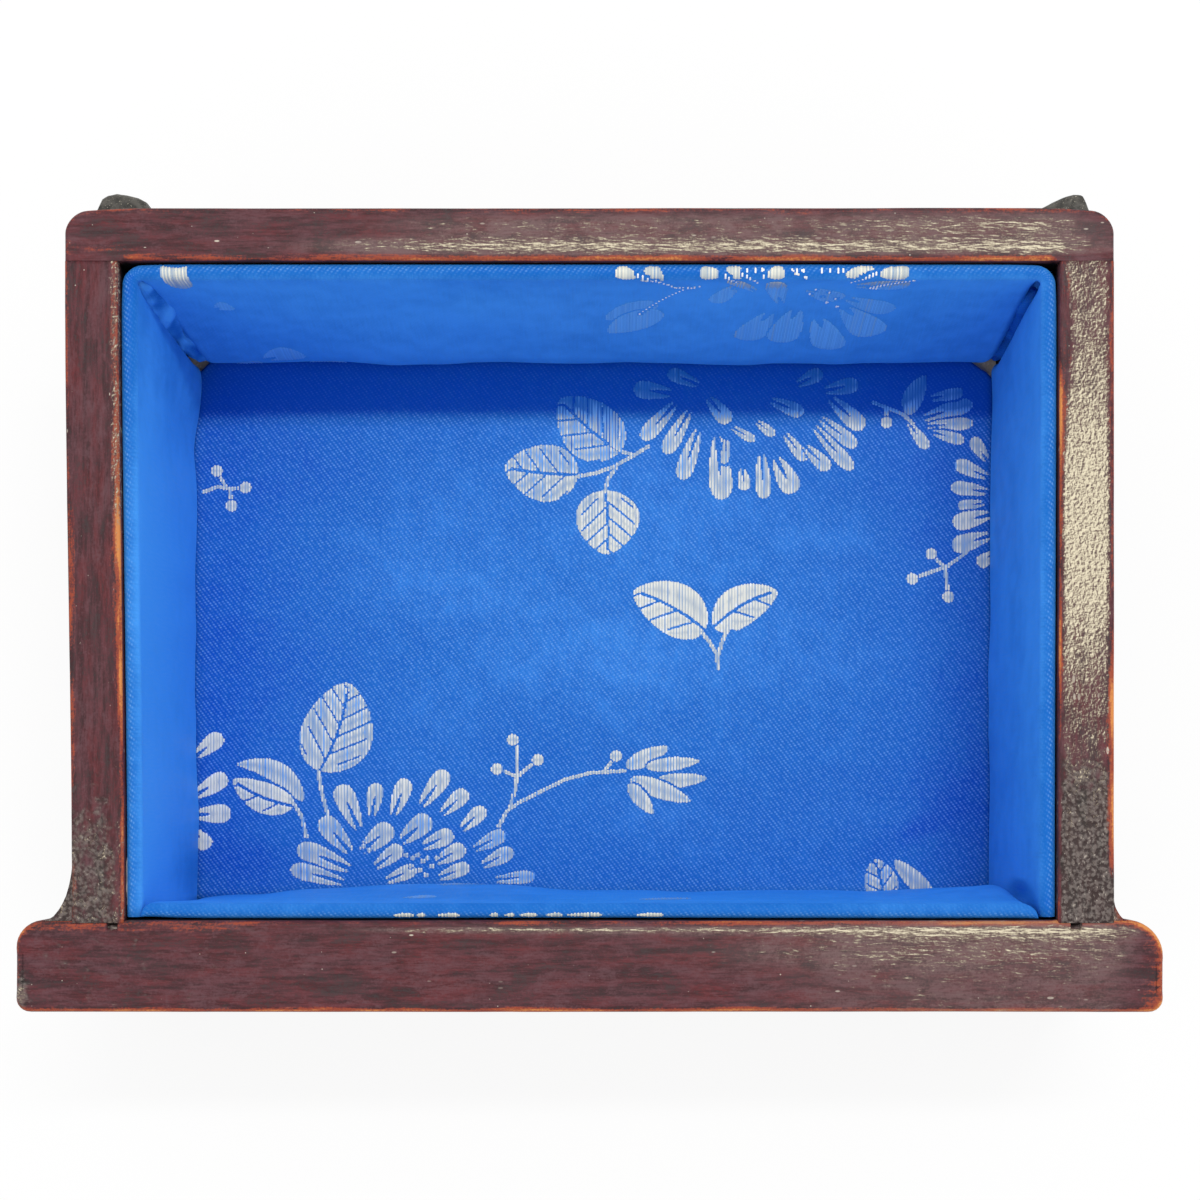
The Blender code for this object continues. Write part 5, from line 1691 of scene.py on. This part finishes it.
face_rows = slice(BEHIND_STEPS, FACE_FIRST + FACE_STEPS)
back_columns = np.nonzero((wall == 1) | (wall == 2))[0][CORNER_COLUMNS:-CORNER_COLUMNS]
back_panel = band[face_rows][:, back_columns]
back_down = wall_down(back_panel)
back_loom = Loom(*BACK_CLOTH)
for petals, tone, slit in ((EDGE_PETALS, EDGE_TONE, UNSLIT), (FACE_PETALS, FACE_TONE, WALL_SLIT)):
    for tail, tip, width in petals:
        back_loom.petal(*ends_on_wall(tail, tip, back_panel, back_down), width, tone, slit)
for tail, tip, width in BACK_LEAF_HALVES:
    back_loom.leaf(*ends_on_wall(tail, tip, back_panel, back_down), width, 0.0, FACE_TONE, 0)
dots = [start + (end - start) * share for start, end in np.array(DOTTED_LINES, float)
        for share in np.linspace(0.0, 1.0, max(2, round(np.linalg.norm(end - start) / DOT_APART)))]
for dot in dots + list(LOOSE_DOTS):
    middle = on_wall(dot, back_panel, back_down)
    back_loom.petal(middle - DOT_HALF, middle + DOT_HALF, DOT_WIDTH, DOT_GLINT_TONE, UNSLIT)
back_loom.petal(*CORNER_PATCH, EDGE_TONE, UNSLIT)
WALL_FLOSS_LIT = floss_material("wall_floss_lit", WALL_BLUE_LIT)
put_figure("woven_figures_back", WALL_FLOSS_LIT, back_loom.threads(), lambda x, y, lift: face_place(
    back_panel, back_down, back_panel[ROLL_STEPS].T[0], x, y, lift), 102, seen_on_wall, ROLLED_OVER,
    end_glints=WALL_END_GLINTS, least=WALL_LEAST)

front_panel = front_band[face_rows]
front_down = wall_down(front_panel)
front_loom = Loom(*FRONT_CLOTH)
for dash in FRONT_DASHES:
    from_x, to_x = (photo_point((pixel, FRONT_DASH_ROW), lining_top)[0] for pixel in dash)
    front_loom.petal((from_x, FRONT_DASH_UP), (to_x, FRONT_DASH_UP), FRONT_DASH_WIDTH, EDGE_TONE, UNSLIT)
for tail, tip, width in FRONT_PATCHES:
    front_loom.petal(*ends_on_wall(tail, tip, front_panel, front_down), width, PATCH_TONE, WALL_SLIT)
put_figure("woven_figures_front", WALL_FLOSS_LIT, front_loom.threads(), lambda x, y, lift: face_place(
    front_panel, front_down, front_panel[ROLL_STEPS].T[0], x, y, lift), 103, seen_on_wall, ROLLED_OVER,
    upward=False, end_glints=WALL_END_GLINTS, least=WALL_LEAST)


# Studio. A plain pale floor under the drawer, an even white surround and one long soft lamp overhead.
# The lamp hangs a little behind and to the right, so the back wall shades a strip of the lined floor.

FLOOR_SIDE = 4.0
FLOOR_WHITE = (0.900, 0.900, 0.900, 1.0)
SURROUND_STRENGTH = 0.86
LAMP_HEIGHT = 1.40
LAMP_BACK = 0.52
LAMP_RIGHT = 0.20
LAMP_LENGTH = 0.70
LAMP_WIDTH = 0.10
LAMP_POWER = 8.5
SHADOW_SHOWN = 0.12

corners = np.array([[-1, -1, 0], [1, -1, 0], [1, 1, 0], [-1, 1, 0]]) * FLOOR_SIDE / 2
floor_paint, tree, shader = new_material("floor_paint")
shader.inputs["Base Color"].default_value = FLOOR_WHITE
shader.inputs["Roughness"].default_value = 0.9
path = add_node(tree, "ShaderNodeLightPath").outputs
seen = work_out("MAXIMUM", path["Is Camera Ray"], path["Is Glossy Ray"])
white = add_node(tree, "ShaderNodeEmission", {"Strength": 1.0})
shown = add_node(tree, "ShaderNodeMixShader", {
    0: both(seen, 1 - SHADOW_SHOWN), 1: shader.outputs[0], 2: white.outputs[0]})
tree.links.new(shown.outputs[0], tree.nodes["Material Output"].inputs["Surface"])
new_object("studio_floor", corners, [[0, 1, 2, 3]], floor_paint, {})

surround = bpy.data.worlds.new("white_surround")
surround.use_nodes = True
surround.node_tree.nodes["Background"].inputs["Color"].default_value = (1.0, 1.0, 1.0, 1.0)
surround.node_tree.nodes["Background"].inputs["Strength"].default_value = SURROUND_STRENGTH
bpy.context.scene.world = surround

lamp_light = bpy.data.lights.new("long_lamp", "AREA")
lamp_light.shape = "RECTANGLE"
lamp_light.size = LAMP_LENGTH
lamp_light.size_y = LAMP_WIDTH
lamp_light.energy = LAMP_POWER
lamp = bpy.data.objects.new("long_lamp", lamp_light)
lamp.location = (LAMP_RIGHT, LAMP_BACK, LAMP_HEIGHT)
lamp.rotation_euler = (-np.arctan2(LAMP_BACK, LAMP_HEIGHT), np.arctan2(LAMP_RIGHT, LAMP_HEIGHT), 0.0)
bpy.context.scene.collection.objects.link(lamp)

bpy.context.scene.view_settings.view_transform = "Standard"
